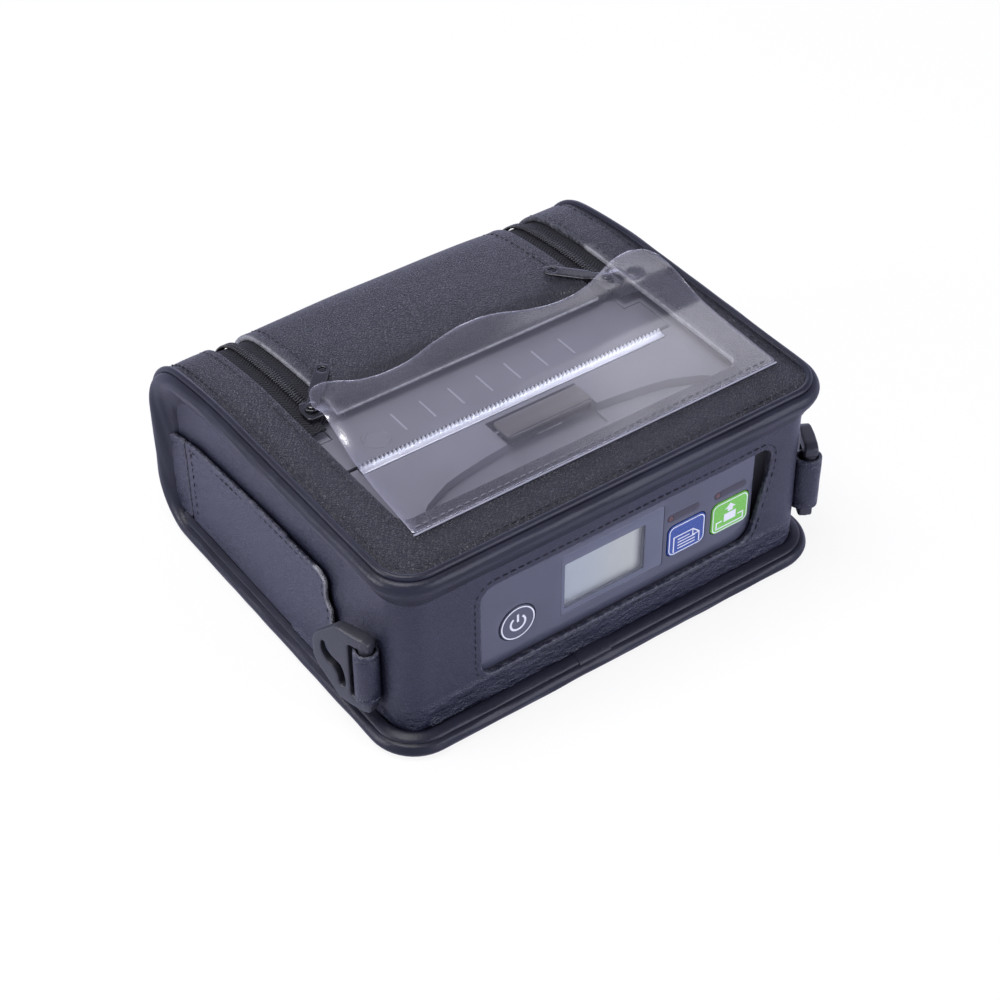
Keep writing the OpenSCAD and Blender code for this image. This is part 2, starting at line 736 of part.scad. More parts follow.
module upper_shell() {
    color(shell_c) difference() {
        union() {
            difference() {
                printer_body(0);
                difference() {
                    printer_body(shell_t);
                    box(-case_w, case_w, -1, deck_fill_back, deck_z, case_h);
                }
                box(-case_w, case_w, -1, case_d, -1, split_z + joint_gap);
                lid_space(lid_gap);
                box(-lid_wide - lid_gap, lid_wide + lid_gap, deck_back, lid_front, deck_z - 3, case_h);
                box(-lid_half - lid_gap, lid_half + lid_gap, pin_y - 7, case_d, rear_wall_top, case_h);
            }
            box(panel_right + joint_gap + 0.2, recess_right + 1.5, printer_front + 1, recess_deep + 1.5,
                split_z + joint_gap, panel_high + 2);
            at_screws() translate([0, 0, split_z + joint_gap])
                cylinder(r = post_r, h = screw_len + printer_low - split_z + 2, $fn = 32);
            for (p = screw_spots)
                box(p[0] > 0 ? p[0] + 1.6 : -printer_half + 1, p[0] > 0 ? printer_half - 1 : p[0] - 1.6,
                    p[1] - 1, p[1] + 1, split_z + joint_gap, screw_len + printer_low + 2);
            for (s = [-1, 1]) {
                x0 = s > 0 ? lug_inner : -lug_outer;
                x1 = s > 0 ? lug_outer : -lug_inner;
                rod(x0, x1, pin_y, pin_z, barrel_r - 0.6);
                box(x0, x1, pin_y - barrel_r + 0.6, printer_back - shell_t + eps, rear_wall_top - 6, pin_z - 1.8);
            }
        }
        at_screws() translate([0, 0, split_z - 1])
            cylinder(r = screw_r + 0.03, h = screw_len + printer_low - split_z + 2, $fn = 24);
        rod(-lug_outer - 1, lug_outer + 1, pin_y, pin_z, pin_r + run_gap);
        box(panel_left - joint_gap, panel_right + joint_gap, -1, printer_front + shell_t + 1,
            panel_low - joint_gap, panel_high + joint_gap);
        box(panel_right, recess_right, -1, recess_deep, panel_low - joint_gap, panel_high + joint_gap);
        box(-half_w, -printer_half + shell_t + 1, port_front, port_back, port_low, port_high);
        // finger scoop in the deck
        translate([0, front + lid_front, scoop_z]) linear_extrude(case_h)
            polygon([for (p = scoop) [p[0], -p[1]]]);
        box(lever_left - 1, lever_right + 1, pocket_front, pocket_back, pocket_z, case_h);
        rod(lever_left - 3, lever_right + 3, lever_pin_y, lever_pin_z, lever_pin_r, 32);
        box(-tear_w / 2 - 0.1, tear_w / 2 + 0.1, tear_y0, deck_back + 1, tear_z, case_h);
    }
}

// Tear bar: a steel strip let into the deck's rear edge, serrated on top
tear_y0 = lid_front - 4.7;
tear_y1 = deck_back - 0.4;
tear_z = printer_h - 0.9;
tear_t = 0.7;
tooth_h = 1.5;

module tear_bar() {
    step = tear_w / tear_teeth;
    saw = concat(
        [[-tear_w / 2, 0]],
        [for (i = [0:tear_teeth - 1]) each [[-tear_w / 2 + (i + 0.5) * step, tooth_h], [-tear_w / 2 + (i + 1) * step, 0.4]]],
        [[tear_w / 2, 0]]
    );
    color(steel_c) {
        box(-tear_w / 2, tear_w / 2, tear_y0 + 0.1, tear_y1, tear_z, tear_z + 2 * tear_t);
        translate([0, front + tear_y1, tear_z + 2 * tear_t - eps]) rotate([90, 0, 0])
            linear_extrude(tear_t) polygon(saw);
    }
}

module release_lever() {
    z0 = printer_h + lever_rise;
    color([0.35, 0.34, 0.36]) difference() {
        union() {
            box(lever_left, lever_right, lever_front, lever_back, z0, z0 + lever_t);
            box(lever_left + 1.5, lever_right - 1.5, lever_front + 0.8, lever_front + 2.4,
                z0 - lever_web, z0 + eps);
            for (x = [lever_left + 2, lever_right - 2 - lug_w]) {
                box(x, x + lug_w, lever_pin_y - 1.8, lever_pin_y + 1.8, lever_pin_z, z0 + eps);
                rod(x, x + lug_w, lever_pin_y, lever_pin_z, 1.8, 32);
            }
        }
        rod(lever_left - 1, lever_right + 1, lever_pin_y, lever_pin_z, lever_pin_r + run_gap, 32);
    }
}

module lever_pin() {
    color(steel_c) rod(lever_left - 3, lever_right + 3, lever_pin_y, lever_pin_z, lever_pin_r, 32);
}

spring_t = 0.5;
module lever_spring() {
    tip_z = printer_h + lever_rise - lever_web;
    tip_y = lever_front + 0.9;
    foot_y = tip_y + 3.6;
    color(steel_c) along_x(-2, 7, [
        [tip_y, tip_z - spring_t], [foot_y, pocket_z], [foot_y + 6, pocket_z],
        [foot_y + 6, pocket_z + spring_t], [foot_y + 0.3, pocket_z + spring_t],
        [tip_y + spring_t, tip_z], [tip_y, tip_z]
    ]);
}

// Control panel, its window and its three keys
key_proud = 0.3;
panel_t = 2;
panel_back = printer_front + panel_t;
power_at = [-35.2, 29.5];
print_at = [29.8, 30.4];
feed_at = [47.4, 30.2];
lens_x0 = -18.8;
lens_x1 = 20.5;
lens_z0 = 22.5;
lens_z1 = 47;
led_at = [[23.2, 40.2], [42, 39.9]];
led_r = 1.1;
flange_t = 0.8;
stem_end = 8.4;
board_y = 10;
board_t = 1.6;
board_edge = 2;
switch_half = 3;
board_screws = [[-47, 20], [-47, 50], [18, 19.6], [18, 50], [53, 49]];

module control_panel() {
    g = key_gap;
    color([0.33, 0.34, 0.42]) difference() {
        box(panel_left, panel_right, printer_front, panel_back, panel_low, panel_high);
        box(lens_x0, lens_x1, printer_front - 1, panel_back + 1, lens_z0, lens_z1);
        stub(power_at[0], printer_front - 1, panel_back + 1, power_at[1], power_r + g);
        for (k = [print_at, feed_at])
            box(k[0] - key_w / 2 - g, k[0] + key_w / 2 + g, printer_front - 1, panel_back + 1,
                k[1] - key_h / 2 - g, k[1] + key_h / 2 + g);
        for (p = led_at) stub(p[0], printer_front - 1, panel_back + 1, p[1], led_r, 24);
    }
}

module lcd_lens() {
    color([0.55, 0.58, 0.68]) box(lens_x0, lens_x1, printer_front + 0.1, panel_back - 0.4, lens_z0, lens_z1);
}

module lcd_module() {
    color([0.65, 0.68, 0.7]) box(lens_x0 + 1.5, 14, panel_back - 0.4, board_y - 1.5, lens_z0 + 1.5, lens_z1 - 2);
}

// Round or square key: a cap through the panel, a flange behind it, a stem
module power_key() {
    color(dark_c) {
        stub(power_at[0], printer_front - key_proud, panel_back + 0.1 + eps, power_at[1], power_r);
        stub(power_at[0], panel_back + 0.1, panel_back + 0.1 + flange_t, power_at[1], power_r + 1);
        stub(power_at[0], panel_back + flange_t, stem_end, power_at[1], 1.6, 24);
    }
}

module square_key(at) {
    x0 = at[0] - key_w / 2;
    z0 = at[1] - key_h / 2;
    box(x0, x0 + key_w, printer_front - key_proud, panel_back + 0.1 + eps, z0, z0 + key_h);
    box(x0 - 0.7, x0 + key_w + 0.7, panel_back + 0.1, panel_back + 0.1 + flange_t, z0 - 0.7, z0 + key_h + 0.7);
    stub(at[0], panel_back + flange_t, stem_end, at[1], 1.6, 24);
}

module print_key() {
    color([0.2, 0.3, 0.63]) square_key(print_at);
}

module feed_key() {
    color([0.47, 0.75, 0.31]) square_key(feed_at);
}

module status_leds() {
    color([0.8, 0.75, 0.7]) for (p = led_at) stub(p[0], printer_front - 0.1, board_y, p[1], led_r, 24);
}

module panel_board() {
    color([0.1, 0.35, 0.2]) {
        box(panel_left + board_edge, panel_right - board_edge + 0.6, board_y, board_y + board_t,
            panel_low + board_edge, panel_high - board_edge);
        for (k = [power_at, print_at, feed_at])
            box(k[0] - switch_half, k[0] + switch_half, stem_end + key_travel + 0.1, board_y + eps,
                k[1] - switch_half, k[1] + switch_half);
        for (p = board_screws) stub(p[0], panel_back, board_y + eps, p[1], 1.6, 24);
    }
}

// Parts on the main board: left, right, front from its front edge, back from
// its front edge or, if negative, from its back edge, height
main_chips = [[-30, -12, 5, -5, 4], [4, 16, 3, -7, 3.4], [30, 48, 3, 11, 9]];

module main_board() {
    color([0.1, 0.35, 0.2]) {
        box(-main_half, main_half, main_front, main_back, main_z, main_z + board_t);
        for (c = main_chips)
            box(c[0], c[1], main_front + c[2], c[3] > 0 ? main_front + c[3] : main_back + c[3],
                main_z + board_t - eps, main_z + c[4]);
    }
}

// Data and charging sockets behind the port cover
data_y = [port_front + 5, port_front + 18];
data_z = [19.4, 28.6];
usb_y = [port_front + 24, port_front + 32];
usb_half = 1.6;
jack_y = port_front + 40;
jack_r = 3;
port_face = -printer_half + shell_t + 0.05;
port_inner = -cheek_x1 - 0.1;
socket_end = port_inner - 5.45;

module port_block() {
    mid_z = (port_low + port_high) / 2;
    color(dark_c) {
        difference() {
            union() {
                box(port_face, port_inner, frame_back + 0.5, port_back - 0.5, port_low + 0.3, port_high - 0.3);
                box(port_face, port_face + 3, port_front - 1, port_back + 1, port_low - 0.6, port_high + 1);
            }
            box(-half_w, socket_end, data_y[0], data_y[1], data_z[0], data_z[1]);
            box(-half_w, socket_end, usb_y[0], usb_y[1], mid_z - usb_half, mid_z + usb_half);
            rod(-half_w, socket_end, jack_y, mid_z, jack_r, 32);
        }
        rod(port_face + 1, socket_end + 0.5, jack_y, mid_z, jack_r / 3, 24);
        box(port_face + 1.5, socket_end + 0.5, usb_y[0] + 1.4, usb_y[1] - 1.4,
            mid_z - usb_half / 4, mid_z + usb_half / 4);
    }
}

// Print mechanism
head_gap = 0.08;
head_face = platen_y - platen_r - head_gap;
arm_x0 = 56.3;
arm_x1 = 57.5;
bush_r = 3;
gear_x0 = 57.8;
gear_x1 = 60.2;
frame_x0 = 60.6;
frame_x1 = 61.8;
lid_tilt = atan((platen_z - pin_z) / (pin_y - platen_y));
idler_d = gear_m * (platen_teeth + idler_teeth) / 2 + 0.05;
idler_y = platen_y - idler_d * sin(lid_tilt);
idler_z = platen_z - idler_d * cos(lid_tilt);
motor_d = gear_m * (idler_teeth + motor_teeth) / 2 + 0.05;
motor_dir = -70;
motor_y = idler_y + motor_d * cos(motor_dir);
motor_z = idler_z + motor_d * sin(motor_dir);
motor_r = 9.6;
stud_r = 1.5;
sink_t = 3;

module print_head() {
    color([0.9, 0.88, 0.8]) box(-54, 54, head_face - 1.1, head_face, platen_z - 6.5, deck_z - 0.3);
}

module head_sink() {
    color(steel_c) box(-56, 56, head_face - 1.1 - sink_t, head_face - 1.1, platen_z - 13, deck_z - 0.3);
}

module head_spring() {
    y1 = head_face - 1.1 - sink_t;
    color(steel_c) for (x = [-40, -6, 28])
        along_x(x, x + 12, [
            [beam_y1, platen_z - 12], [beam_y1 + 0.5, platen_z - 12], [beam_y1 + 0.5, platen_z - 4.5],
            [y1, platen_z - 3], [y1, platen_z - 2.4], [beam_y1, platen_z - 3.9]
        ]);
}

module side_frames() {
    color(steel_c) difference() {
        union() {
            both_sides() box(frame_x0, frame_x1, beam_y0, frame_back, floor_z, platen_z);
            box(-frame_x0 - eps, frame_x0 + eps, beam_y0, beam_y1, platen_z - 13, deck_z - 0.3);
            box(arm_x0 - 0.1, frame_x0 + eps, motor_y - 9, frame_back, motor_z - motor_r - 3, motor_z - motor_r);
            box(arm_x0 - 0.1, arm_x1 - 0.1, motor_y - 9, motor_y + 9, motor_z - motor_r - 3, motor_z + 7.5);
        }
        rod(-case_w, case_w, platen_y, platen_z, shaft_r + 0.15);
        rod(arm_x0 - 1, arm_x1 + 0.2, motor_y, motor_z, 2.4, 32);
        rod(frame_x0 - 0.1, frame_x1 + 1, idler_y, idler_z, stud_r, 32);
    }
}

// Involute gear in the plane of the paper path, as a prism along X. The tooth
// that points along phase lies on the line between two centres
function roll_off(rb, r) = tan(acos(rb / r)) * 180 / PI - acos(rb / r);
function polar(p) = [p[0] * cos(p[1]), p[0] * sin(p[1])];

module gear(teeth, phase, y, z, bore_r) {
    pitch_r = gear_m * teeth / 2;
    base_r = pitch_r * cos(20);
    tip_r = pitch_r + 0.9 * gear_m;
    root_r = pitch_r - 1.2 * gear_m;
    low_r = max(base_r, root_r) + 0.001;
    half = 90 / teeth + roll_off(base_r, pitch_r) - 0.04 / pitch_r * 180 / PI;
    rise = (tip_r - low_r) / 4;
    flank = [for (i = [0:4]) [low_r + i * rise, half - roll_off(base_r, low_r + i * rise)]];
    tooth = concat(
        [[root_r, -half]],
        [for (f = flank) [f[0], -f[1]]],
        [for (i = [4:-1:0]) flank[i]],
        [[root_r, half]]
    );
    translate([gear_x0, front + y, z]) rotate([90, 0, 90]) linear_extrude(gear_x1 - gear_x0)
        difference() {
            polygon([for (k = [0:teeth - 1]) each
                [for (t = tooth) polar([t[0], t[1] + phase + k * 360 / teeth])]]);
            circle(r = bore_r, $fn = 48);
        }
}

// Mesh phases: platen to idler, then idler to motor
mesh_dir = 270 - lid_tilt;
idler_phase = mesh_dir + 180 + 180 / idler_teeth;
idler_step = 360 / idler_teeth;
idler_off = idler_phase - motor_dir - idler_step * floor((idler_phase - motor_dir) / idler_step);
pinion_phase = motor_dir + 180 - idler_off * idler_teeth / motor_teeth + 180 / motor_teeth;

module platen_shaft() {
    color(steel_c) rod(-frame_x1 - 0.2, frame_x1 + 0.2, platen_y, platen_z, shaft_r);
}

module platen_rubber() {
    half = 55.5;
    color(dark_c) difference() {
        rod(-half, half, platen_y, platen_z, platen_r, 96);
        rod(-half - 1, half + 1, platen_y, platen_z, shaft_r);
    }
}

module platen_bushes() {
    color([0.85, 0.83, 0.78]) both_sides() difference() {
        union() {
            rod(arm_x0, arm_x1, platen_y, platen_z, bush_r);
            rod(arm_x0 - 0.4, arm_x0, platen_y, platen_z, bush_r + 0.8);
        }
        rod(arm_x0 - 1, arm_x1 + 1, platen_y, platen_z, shaft_r + run_gap);
    }
}

module platen_gear() {
    color(steel_c) gear(platen_teeth, mesh_dir, platen_y, platen_z, shaft_r + eps);
}

module idler_gear() {
    color([0.85, 0.83, 0.78]) gear(idler_teeth, idler_phase, idler_y, idler_z, stud_r + run_gap);
}

module idler_stud() {
    color(steel_c) {
        rod(gear_x0 - 0.1, frame_x1, idler_y, idler_z, stud_r);
        rod(gear_x0 - 0.6, gear_x0 - 0.1, idler_y, idler_z, stud_r + 0.8);
    }
}

// Motor without its shaft, bored for it
motor_x0 = 36;
motor_x1 = arm_x0 - 0.1;
motor_shaft_r = 1;

module motor() {
    color(steel_c) difference() {
        union() {
            rod(motor_x0, motor_x1, motor_y, motor_z, motor_r);
            rod(motor_x1 - eps, motor_x1 + 0.8, motor_y, motor_z, 2.3, 32);
        }
        rod(motor_x0 + 3, motor_x1 + 1, motor_y, motor_z, motor_shaft_r + run_gap, 32);
    }
}

module motor_pinion() {
    color(steel_c) {
        gear(motor_teeth, pinion_phase, motor_y, motor_z, 0.8);
        rod(motor_x0 + 3.2, gear_x1, motor_y, motor_z, motor_shaft_r, 32);
    }
}

// Lid over the roll, hinged at the rear, with arms that carry the platen
module paper_lid() {
    arm_y0 = platen_y - 4.6;
    arm_y1 = platen_y + 8;
    arm_z0 = platen_z - 4.4;
    color(shell_c) difference() {
        union() {
            intersection() {
                difference() {
                    printer_body(0);
                    printer_body(shell_t);
                }
                lid_space(0);
            }
            both_sides() {
                intersection() {
                    box(arm_x0, arm_x1, arm_y0, arm_y1, arm_z0, printer_h - shell_t + eps);
                    along_x(0, case_w, [
                        [arm_y0, arm_z0], [platen_y + 3, arm_z0], [arm_y1, platen_z + 3],
                        [arm_y1, case_h], [arm_y0, case_h]
                    ]);
                }
            }
            rod(-lug_inner + lid_gap, lug_inner - lid_gap, pin_y, pin_z, barrel_r);
            both_sides() rod(lug_outer + lid_gap, lid_half, pin_y, pin_z, barrel_r);
            box(-54, 54, platen_y + 6.7, platen_y + 8, platen_z + 3, printer_h - shell_t + eps);
        }
        rod(-case_w, case_w, pin_y, pin_z, pin_r + run_gap);
        rod(-case_w, case_w, platen_y, platen_z, bush_r);
        both_sides() box(lug_inner - lid_gap, lug_outer + lid_gap, pin_y - barrel_r - 1, case_d,
            pin_z - 1, pin_z + barrel_r + 0.5);
    }
}

module lid_pin() {
    color(steel_c) rod(-lid_half + 0.5, lid_half - 0.5, pin_y, pin_z, pin_r);
}

// Bay for the roll, open on top
cradle_t = 1.3;
cradle_low = floor_z + 1.7;
cradle_front = lid_front + 17.7;
cradle_back = pin_y - barrel_r - 0.8;
// The largest round trough that both the depth and the height leave room for
cradle_r = min(cradle_back - cradle_front, printer_h - shell_t - 2 - cradle_low) / 2;
cradle_z = cradle_low + cradle_r;
cradle_rim = 6.5;
cradle_foot = [30, 12];
paper_r = cradle_r - roll_slack;
roll_rest = 0.3;
roll_y = cradle_back - cradle_r;
roll_z = cradle_low + paper_r + roll_rest;
core_r = 8;
core_hole_r = 6;

module paper_cradle() {
    color(shell_c) difference() {
        union() {
            difference() {
                rod(-cheek_x0 - eps, cheek_x0 + eps, roll_y, cradle_z, cradle_r + cradle_t, 96);
                rod(-cheek_x0, cheek_x0, roll_y, cradle_z, cradle_r, 96);
            }
            both_sides() rod(cheek_x0, cheek_x1, roll_y, cradle_z, cradle_r + cradle_t, 96);
            box(-cradle_foot[0], cradle_foot[0], roll_y - cradle_foot[1], roll_y + cradle_foot[1],
                floor_z, cradle_low - 0.5);
        }
        box(-case_w, case_w, 0, case_d, cradle_z + cradle_rim, case_h);
    }
}

module paper_roll() {
    color([0.95, 0.95, 0.94]) difference() {
        rod(-paper_w / 2, paper_w / 2, roll_y, roll_z, paper_r, 128);
        rod(-paper_w / 2 - 1, paper_w / 2 + 1, roll_y, roll_z, core_r);
    }
}

module paper_core() {
    color([0.72, 0.6, 0.45]) difference() {
        rod(-paper_w / 2, paper_w / 2, roll_y, roll_z, core_r);
        rod(-paper_w / 2 - 1, paper_w / 2 + 1, roll_y, roll_z, core_hole_r);
    }
}

case_band();
case_wrap_panel();
case_base_panel();
edge_roll();
seam_piping();
vinyl_hem();
vinyl_cover();
rear_flap();
zip_tape_case();
zip_tape_flap();
zip_coil_case();
zip_coil_flap();
zip_end_stops();
zip_slider(-1);  // zip_slider_left
zip_slider(1);  // zip_slider_right
zip_pull(-1);  // zip_pull_left
zip_pull(1);  // zip_pull_right
side_flap();
side_flap_anchor();
side_flap_fastener();
strap_loop(-1);  // strap_loop_left
strap_loop(1);  // strap_loop_right
strap_ring(-1);  // strap_ring_left
strap_ring(1);  // strap_ring_right
lower_shell();
upper_shell();
battery_door();
battery_pack();
control_panel();
lcd_lens();
lcd_module();
power_key();
print_key();
feed_key();
status_leds();
panel_board();
main_board();
port_block();
tear_bar();
release_lever();
lever_pin();
lever_spring();
print_head();
head_sink();
head_spring();
side_frames();
platen_shaft();
platen_rubber();
platen_bushes();
platen_gear();
idler_gear();
idler_stud();
motor();
motor_pinion();
paper_lid();
lid_pin();
paper_cradle();
paper_roll();
paper_core();
shell_screws();
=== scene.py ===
# %% [markdown]
# # A portable thermal printer in its sewn case
#
# The real object is a battery printer for 4-inch receipts, zipped into a case
# of artificial leather with a clear film over the paper slot. Its hard parts
# come in finished from CAD. This lesson rebuilds the soft and rounded parts
# over that frame with mesh code, so that every seam lies where the CAD says.

# %% Load the frame
import json
import math
import bmesh
import bpy
import numpy as np
from mathutils import Matrix, Vector, noise
from mathutils.geometry import delaunay_2d_cdt

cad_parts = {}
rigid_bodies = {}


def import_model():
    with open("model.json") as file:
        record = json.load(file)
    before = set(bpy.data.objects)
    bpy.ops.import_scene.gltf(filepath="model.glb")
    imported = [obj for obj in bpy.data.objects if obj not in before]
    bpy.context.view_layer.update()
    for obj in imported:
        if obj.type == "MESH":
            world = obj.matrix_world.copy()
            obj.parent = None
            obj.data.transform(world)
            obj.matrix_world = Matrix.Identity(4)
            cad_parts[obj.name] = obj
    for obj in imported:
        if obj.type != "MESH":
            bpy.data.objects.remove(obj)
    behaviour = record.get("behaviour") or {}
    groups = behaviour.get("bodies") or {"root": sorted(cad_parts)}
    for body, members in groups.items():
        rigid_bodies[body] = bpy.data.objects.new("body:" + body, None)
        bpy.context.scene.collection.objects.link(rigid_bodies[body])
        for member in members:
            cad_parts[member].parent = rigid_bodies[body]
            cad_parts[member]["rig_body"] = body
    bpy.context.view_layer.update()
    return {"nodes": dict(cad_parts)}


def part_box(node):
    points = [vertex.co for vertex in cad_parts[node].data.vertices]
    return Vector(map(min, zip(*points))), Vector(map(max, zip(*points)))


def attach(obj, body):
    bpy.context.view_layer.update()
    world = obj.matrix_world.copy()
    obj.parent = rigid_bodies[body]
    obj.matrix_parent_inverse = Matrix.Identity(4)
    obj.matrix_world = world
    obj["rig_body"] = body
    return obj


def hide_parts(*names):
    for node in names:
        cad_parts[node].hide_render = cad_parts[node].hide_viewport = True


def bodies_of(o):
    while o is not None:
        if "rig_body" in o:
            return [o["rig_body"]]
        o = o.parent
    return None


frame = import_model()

MM = 0.001
front_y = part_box("case_band")[0][1]


def at(x, y, z):
    """A point in metres from millimetres; y is counted from the case's front wall."""
    return Vector((x * MM, front_y + y * MM, z * MM))


# %% [markdown]
# ## Camera
#
# The photograph was taken from the left front, well above the table. Its
# camera was worked out once from the seams and corners of the case, so the
# numbers here are a direction, a distance and a focal length in pixels of a
# 1000 pixel wide picture.

# %% Camera
SENSOR_MM, FRAME_PX = 36, 1000
azimuth, elevation, roll = (math.radians(a) for a in (-35.51, 41.59, -0.3))
distance, focal_px = 0.77564, 2251.7
aim = at(18.78, 86.79, -10.22)
eye = aim + distance * Vector((
    math.sin(azimuth) * math.cos(elevation), -math.cos(azimuth) * math.cos(elevation), math.sin(elevation)))
camera = bpy.data.objects.new("camera", bpy.data.cameras.new("camera"))
camera.data.sensor_width = SENSOR_MM
camera.data.lens = focal_px * SENSOR_MM / FRAME_PX
camera.location = eye
camera.rotation_euler = ((aim - eye).to_track_quat("-Z", "Y").to_matrix()
                         @ Matrix.Rotation(roll, 3, "Z")).to_euler()
bpy.context.scene.collection.objects.link(camera)
bpy.context.scene.camera = camera
bpy.context.scene.view_settings.view_transform = "Standard"
print("camera at", [round(v, 3) for v in eye])

# %% [markdown]
# ## Small tools for materials
#
# A material is a tree of nodes. Wiring maths by hand hides the formula, so a
# thin wrapper lets a script write it as Python: `1 - grain * 0.5` adds the
# Math nodes and returns their output. Colours and vectors have their own
# nodes, which one general method adds.

# %% Material tools
class Signal:
    """One output in a node tree. Python operators add Math nodes to it."""

    def __init__(self, tree, socket):
        self.tree, self.socket = tree, socket

    def math(self, operation, *values):
        node = self.tree.nodes.new("ShaderNodeMath")
        node.operation = operation
        for socket, value in zip(node.inputs, values):
            feed(self.tree, socket, value)
        return Signal(self.tree, node.outputs[0])

    def __add__(self, other):
        return self.math("ADD", self, other)

    def __sub__(self, other):
        return self.math("SUBTRACT", self, other)

    def __rsub__(self, other):
        return self.math("SUBTRACT", other, self)

    def __mul__(self, other):
        return self.math("MULTIPLY", self, other)

    def __pow__(self, other):
        return self.math("POWER", self, other)

    __radd__, __rmul__ = __add__, __mul__

    def step(self, low, high, out=(0, 1)):
        """Smooth step from low to high, mapped to out."""
        node = self.tree.nodes.new("ShaderNodeMapRange")
        node.interpolation_type = "SMOOTHSTEP"
        for socket, value in zip(node.inputs, (self, low, high, *out)):
            feed(self.tree, socket, value)
        return Signal(self.tree, node.outputs[0])


def feed(tree, socket, value):
    """Links a signal into a socket, or sets a plain value on it."""
    if isinstance(value, Signal):
        tree.links.new(value.socket, socket)
    else:
        socket.default_value = value


class Surface:
    """A material with a Principled shader and the few nodes that this scene needs."""

    def __init__(self, name, **constants):
        self.material = bpy.data.materials.new(name)
        self.material.use_nodes = True
        self.tree = self.material.node_tree
        self.tree.nodes.clear()
        self.shader = self.add("BsdfPrincipled")
        self.out = self.add("OutputMaterial")
        self.tree.links.new(self.shader.outputs[0], self.out.inputs[0])
        self.place = self.read("TexCoord", "Object")
        for key, value in constants.items():
            self.set(key.replace("_", " ").title().replace("Ior", "IOR"), value)

    def add(self, kind, settings={}, values={}):
        """A node with its settings, then the values or links of its sockets."""
        node = self.tree.nodes.new("ShaderNode" + kind)
        for key, value in settings.items():
            setattr(node, key, value)
        for key, value in values.items():
            feed(self.tree, node.inputs[key], value)
        return node

    def read(self, kind, output, settings={}, values={}):
        """One output of a new node."""
        return Signal(self.tree, self.add(kind, settings, values).outputs[output])

    def set(self, key, value):
        """Sets or links one socket of the shader by its name."""
        feed(self.tree, self.shader.inputs[key], value)

    def scaled(self, x, y, z):
        return self.read("Mapping", 0, {}, {"Vector": self.place, "Scale": (x, y, z)})

    def noise(self, scale, detail=3, place=None):
        return self.read("TexNoise", 0, {}, {"Vector": place or self.place, "Scale": scale, "Detail": detail})

    def cells(self, scale, place=None):
        """How far each point is from the border of its Voronoi cell."""
        return self.read("TexVoronoi", "Distance", {"feature": "DISTANCE_TO_EDGE"},
                         {"Vector": place or self.place, "Scale": scale})

    def attribute(self, name):
        return self.read("Attribute", "Fac", {"attribute_name": name})

    def parts(self, vector):
        """The three numbers of a vector, each as a signal."""
        split = self.add("SeparateXYZ", {}, {0: vector})
        return [Signal(self.tree, socket) for socket in split.outputs]

    def colour(self, share, a, b):
        """From colour a to colour b; either may be a signal."""
        return self.read("Mix", 2, {"data_type": "RGBA"}, {
            0: share, 6: a if isinstance(a, Signal) else (*a, 1), 7: b if isinstance(b, Signal) else (*b, 1)})

    def bump(self, height, depth_mm):
        relief = self.read("Bump", 0, {}, {"Height": height, "Distance": depth_mm * MM, "Strength": 1.0})
        self.set("Normal", relief)


print("material tools ready")

# %% [markdown]
# ## Leather, edging and thread
#
# Artificial leather is a printed grain of pebbles about a millimetre wide,
# slightly darker in its creases and rubbed lighter at cut edges. Voronoi cells
# give the pebbles and noise breaks up their rows. Meshes that carry a `rim`
# attribute, the distance from their cut edge in millimetres, wear there. Where
# a second attribute is near 1 the leather gets a painted highlight, lighter and
# paler on cut edges that face the lamps. At the foot of the front wall the
# leather gathers in fine ridges, which are bump in the wall's finish alone.

# %% Leather, edging and thread
RIDGES_BELOW = (14.5 * MM, 17.5 * MM)
FRONT_WALL = (-66.5 * MM, -64.0 * MM)
# RUBBED is wear at cut edges; the second tone is a painted highlight.
RUBBED, EDGE_HIGHLIGHT = (0.24, 0.24, 0.28), (0.42, 0.42, 0.46)


def toned(tint, factor):
    """A colour made darker or lighter."""
    return [c * factor for c in tint]


def leather(name, tint, grain_mm, depth_mm, roughness, gloss, ridged=False):
    """Grained leather; ridged adds the gathers at the foot of the front wall."""
    s = Surface(name, specular_ior_level=gloss)
    warp = s.noise(260, 2)
    shift = s.read("CombineXYZ", 0, {}, {0: warp * 0.0011, 1: s.noise(310, 2) * 0.0011, 2: warp * 0.0009})
    place = s.read("VectorMath", 0, {"operation": "ADD"}, {0: s.place, 1: shift})
    pebble = s.cells(1000 / grain_mm, place).step(0, 0.34)
    fine = s.noise(2600, 3)
    cloud = s.noise(34, 4)
    rub = 1 - s.attribute("rim").step(0, 0.9)
    shade = cloud * 0.55 + pebble * 0.3 + fine * 0.15
    base = s.colour(shade.step(0.15, 0.85), toned(tint, 0.72), toned(tint, 1.3))
    # Painted highlight: lighter and speckled where the mesh's highlight attribute is high.
    highlight_mask = s.attribute("fold") * s.noise(420, 2).step(0.25, 0.6, (0.55, 1))
    base = s.colour(rub * s.noise(700, 3).step(0.35, 0.7) * 0.35, base, RUBBED)
    s.set("Base Color", s.colour(highlight_mask, base, EDGE_HIGHLIGHT))
    s.set("Roughness", roughness + cloud * 0.1 - pebble * 0.07)
    relief = pebble * 0.8 + fine * 0.35 + s.noise(120, 2) * 0.8
    if ridged:
        _, y, z = s.parts(s.place)
        foot = (1 - z.step(*RIDGES_BELOW)) * (1 - y.step(*FRONT_WALL))
        relief = relief + foot * (s.noise(620, 3, s.scaled(0.45, 1, 1)) * 9 + s.noise(1500, 2) * 3)
    s.bump(relief, depth_mm)
    return s.material


def edging(name, tint, roughness):
    """Smoother leather for rolled edges and piping."""
    s = Surface(name, specular_ior_level=0.34)
    fine = s.noise(1500, 4)
    cloud = s.noise(60, 4)
    s.set("Base Color", s.colour(cloud.step(0.3, 0.7), toned(tint, 0.8), toned(tint, 1.25)))
    s.set("Roughness", roughness + cloud * 0.14)
    s.bump(fine * 0.5 + s.noise(240, 3), 0.12)
    return s.material


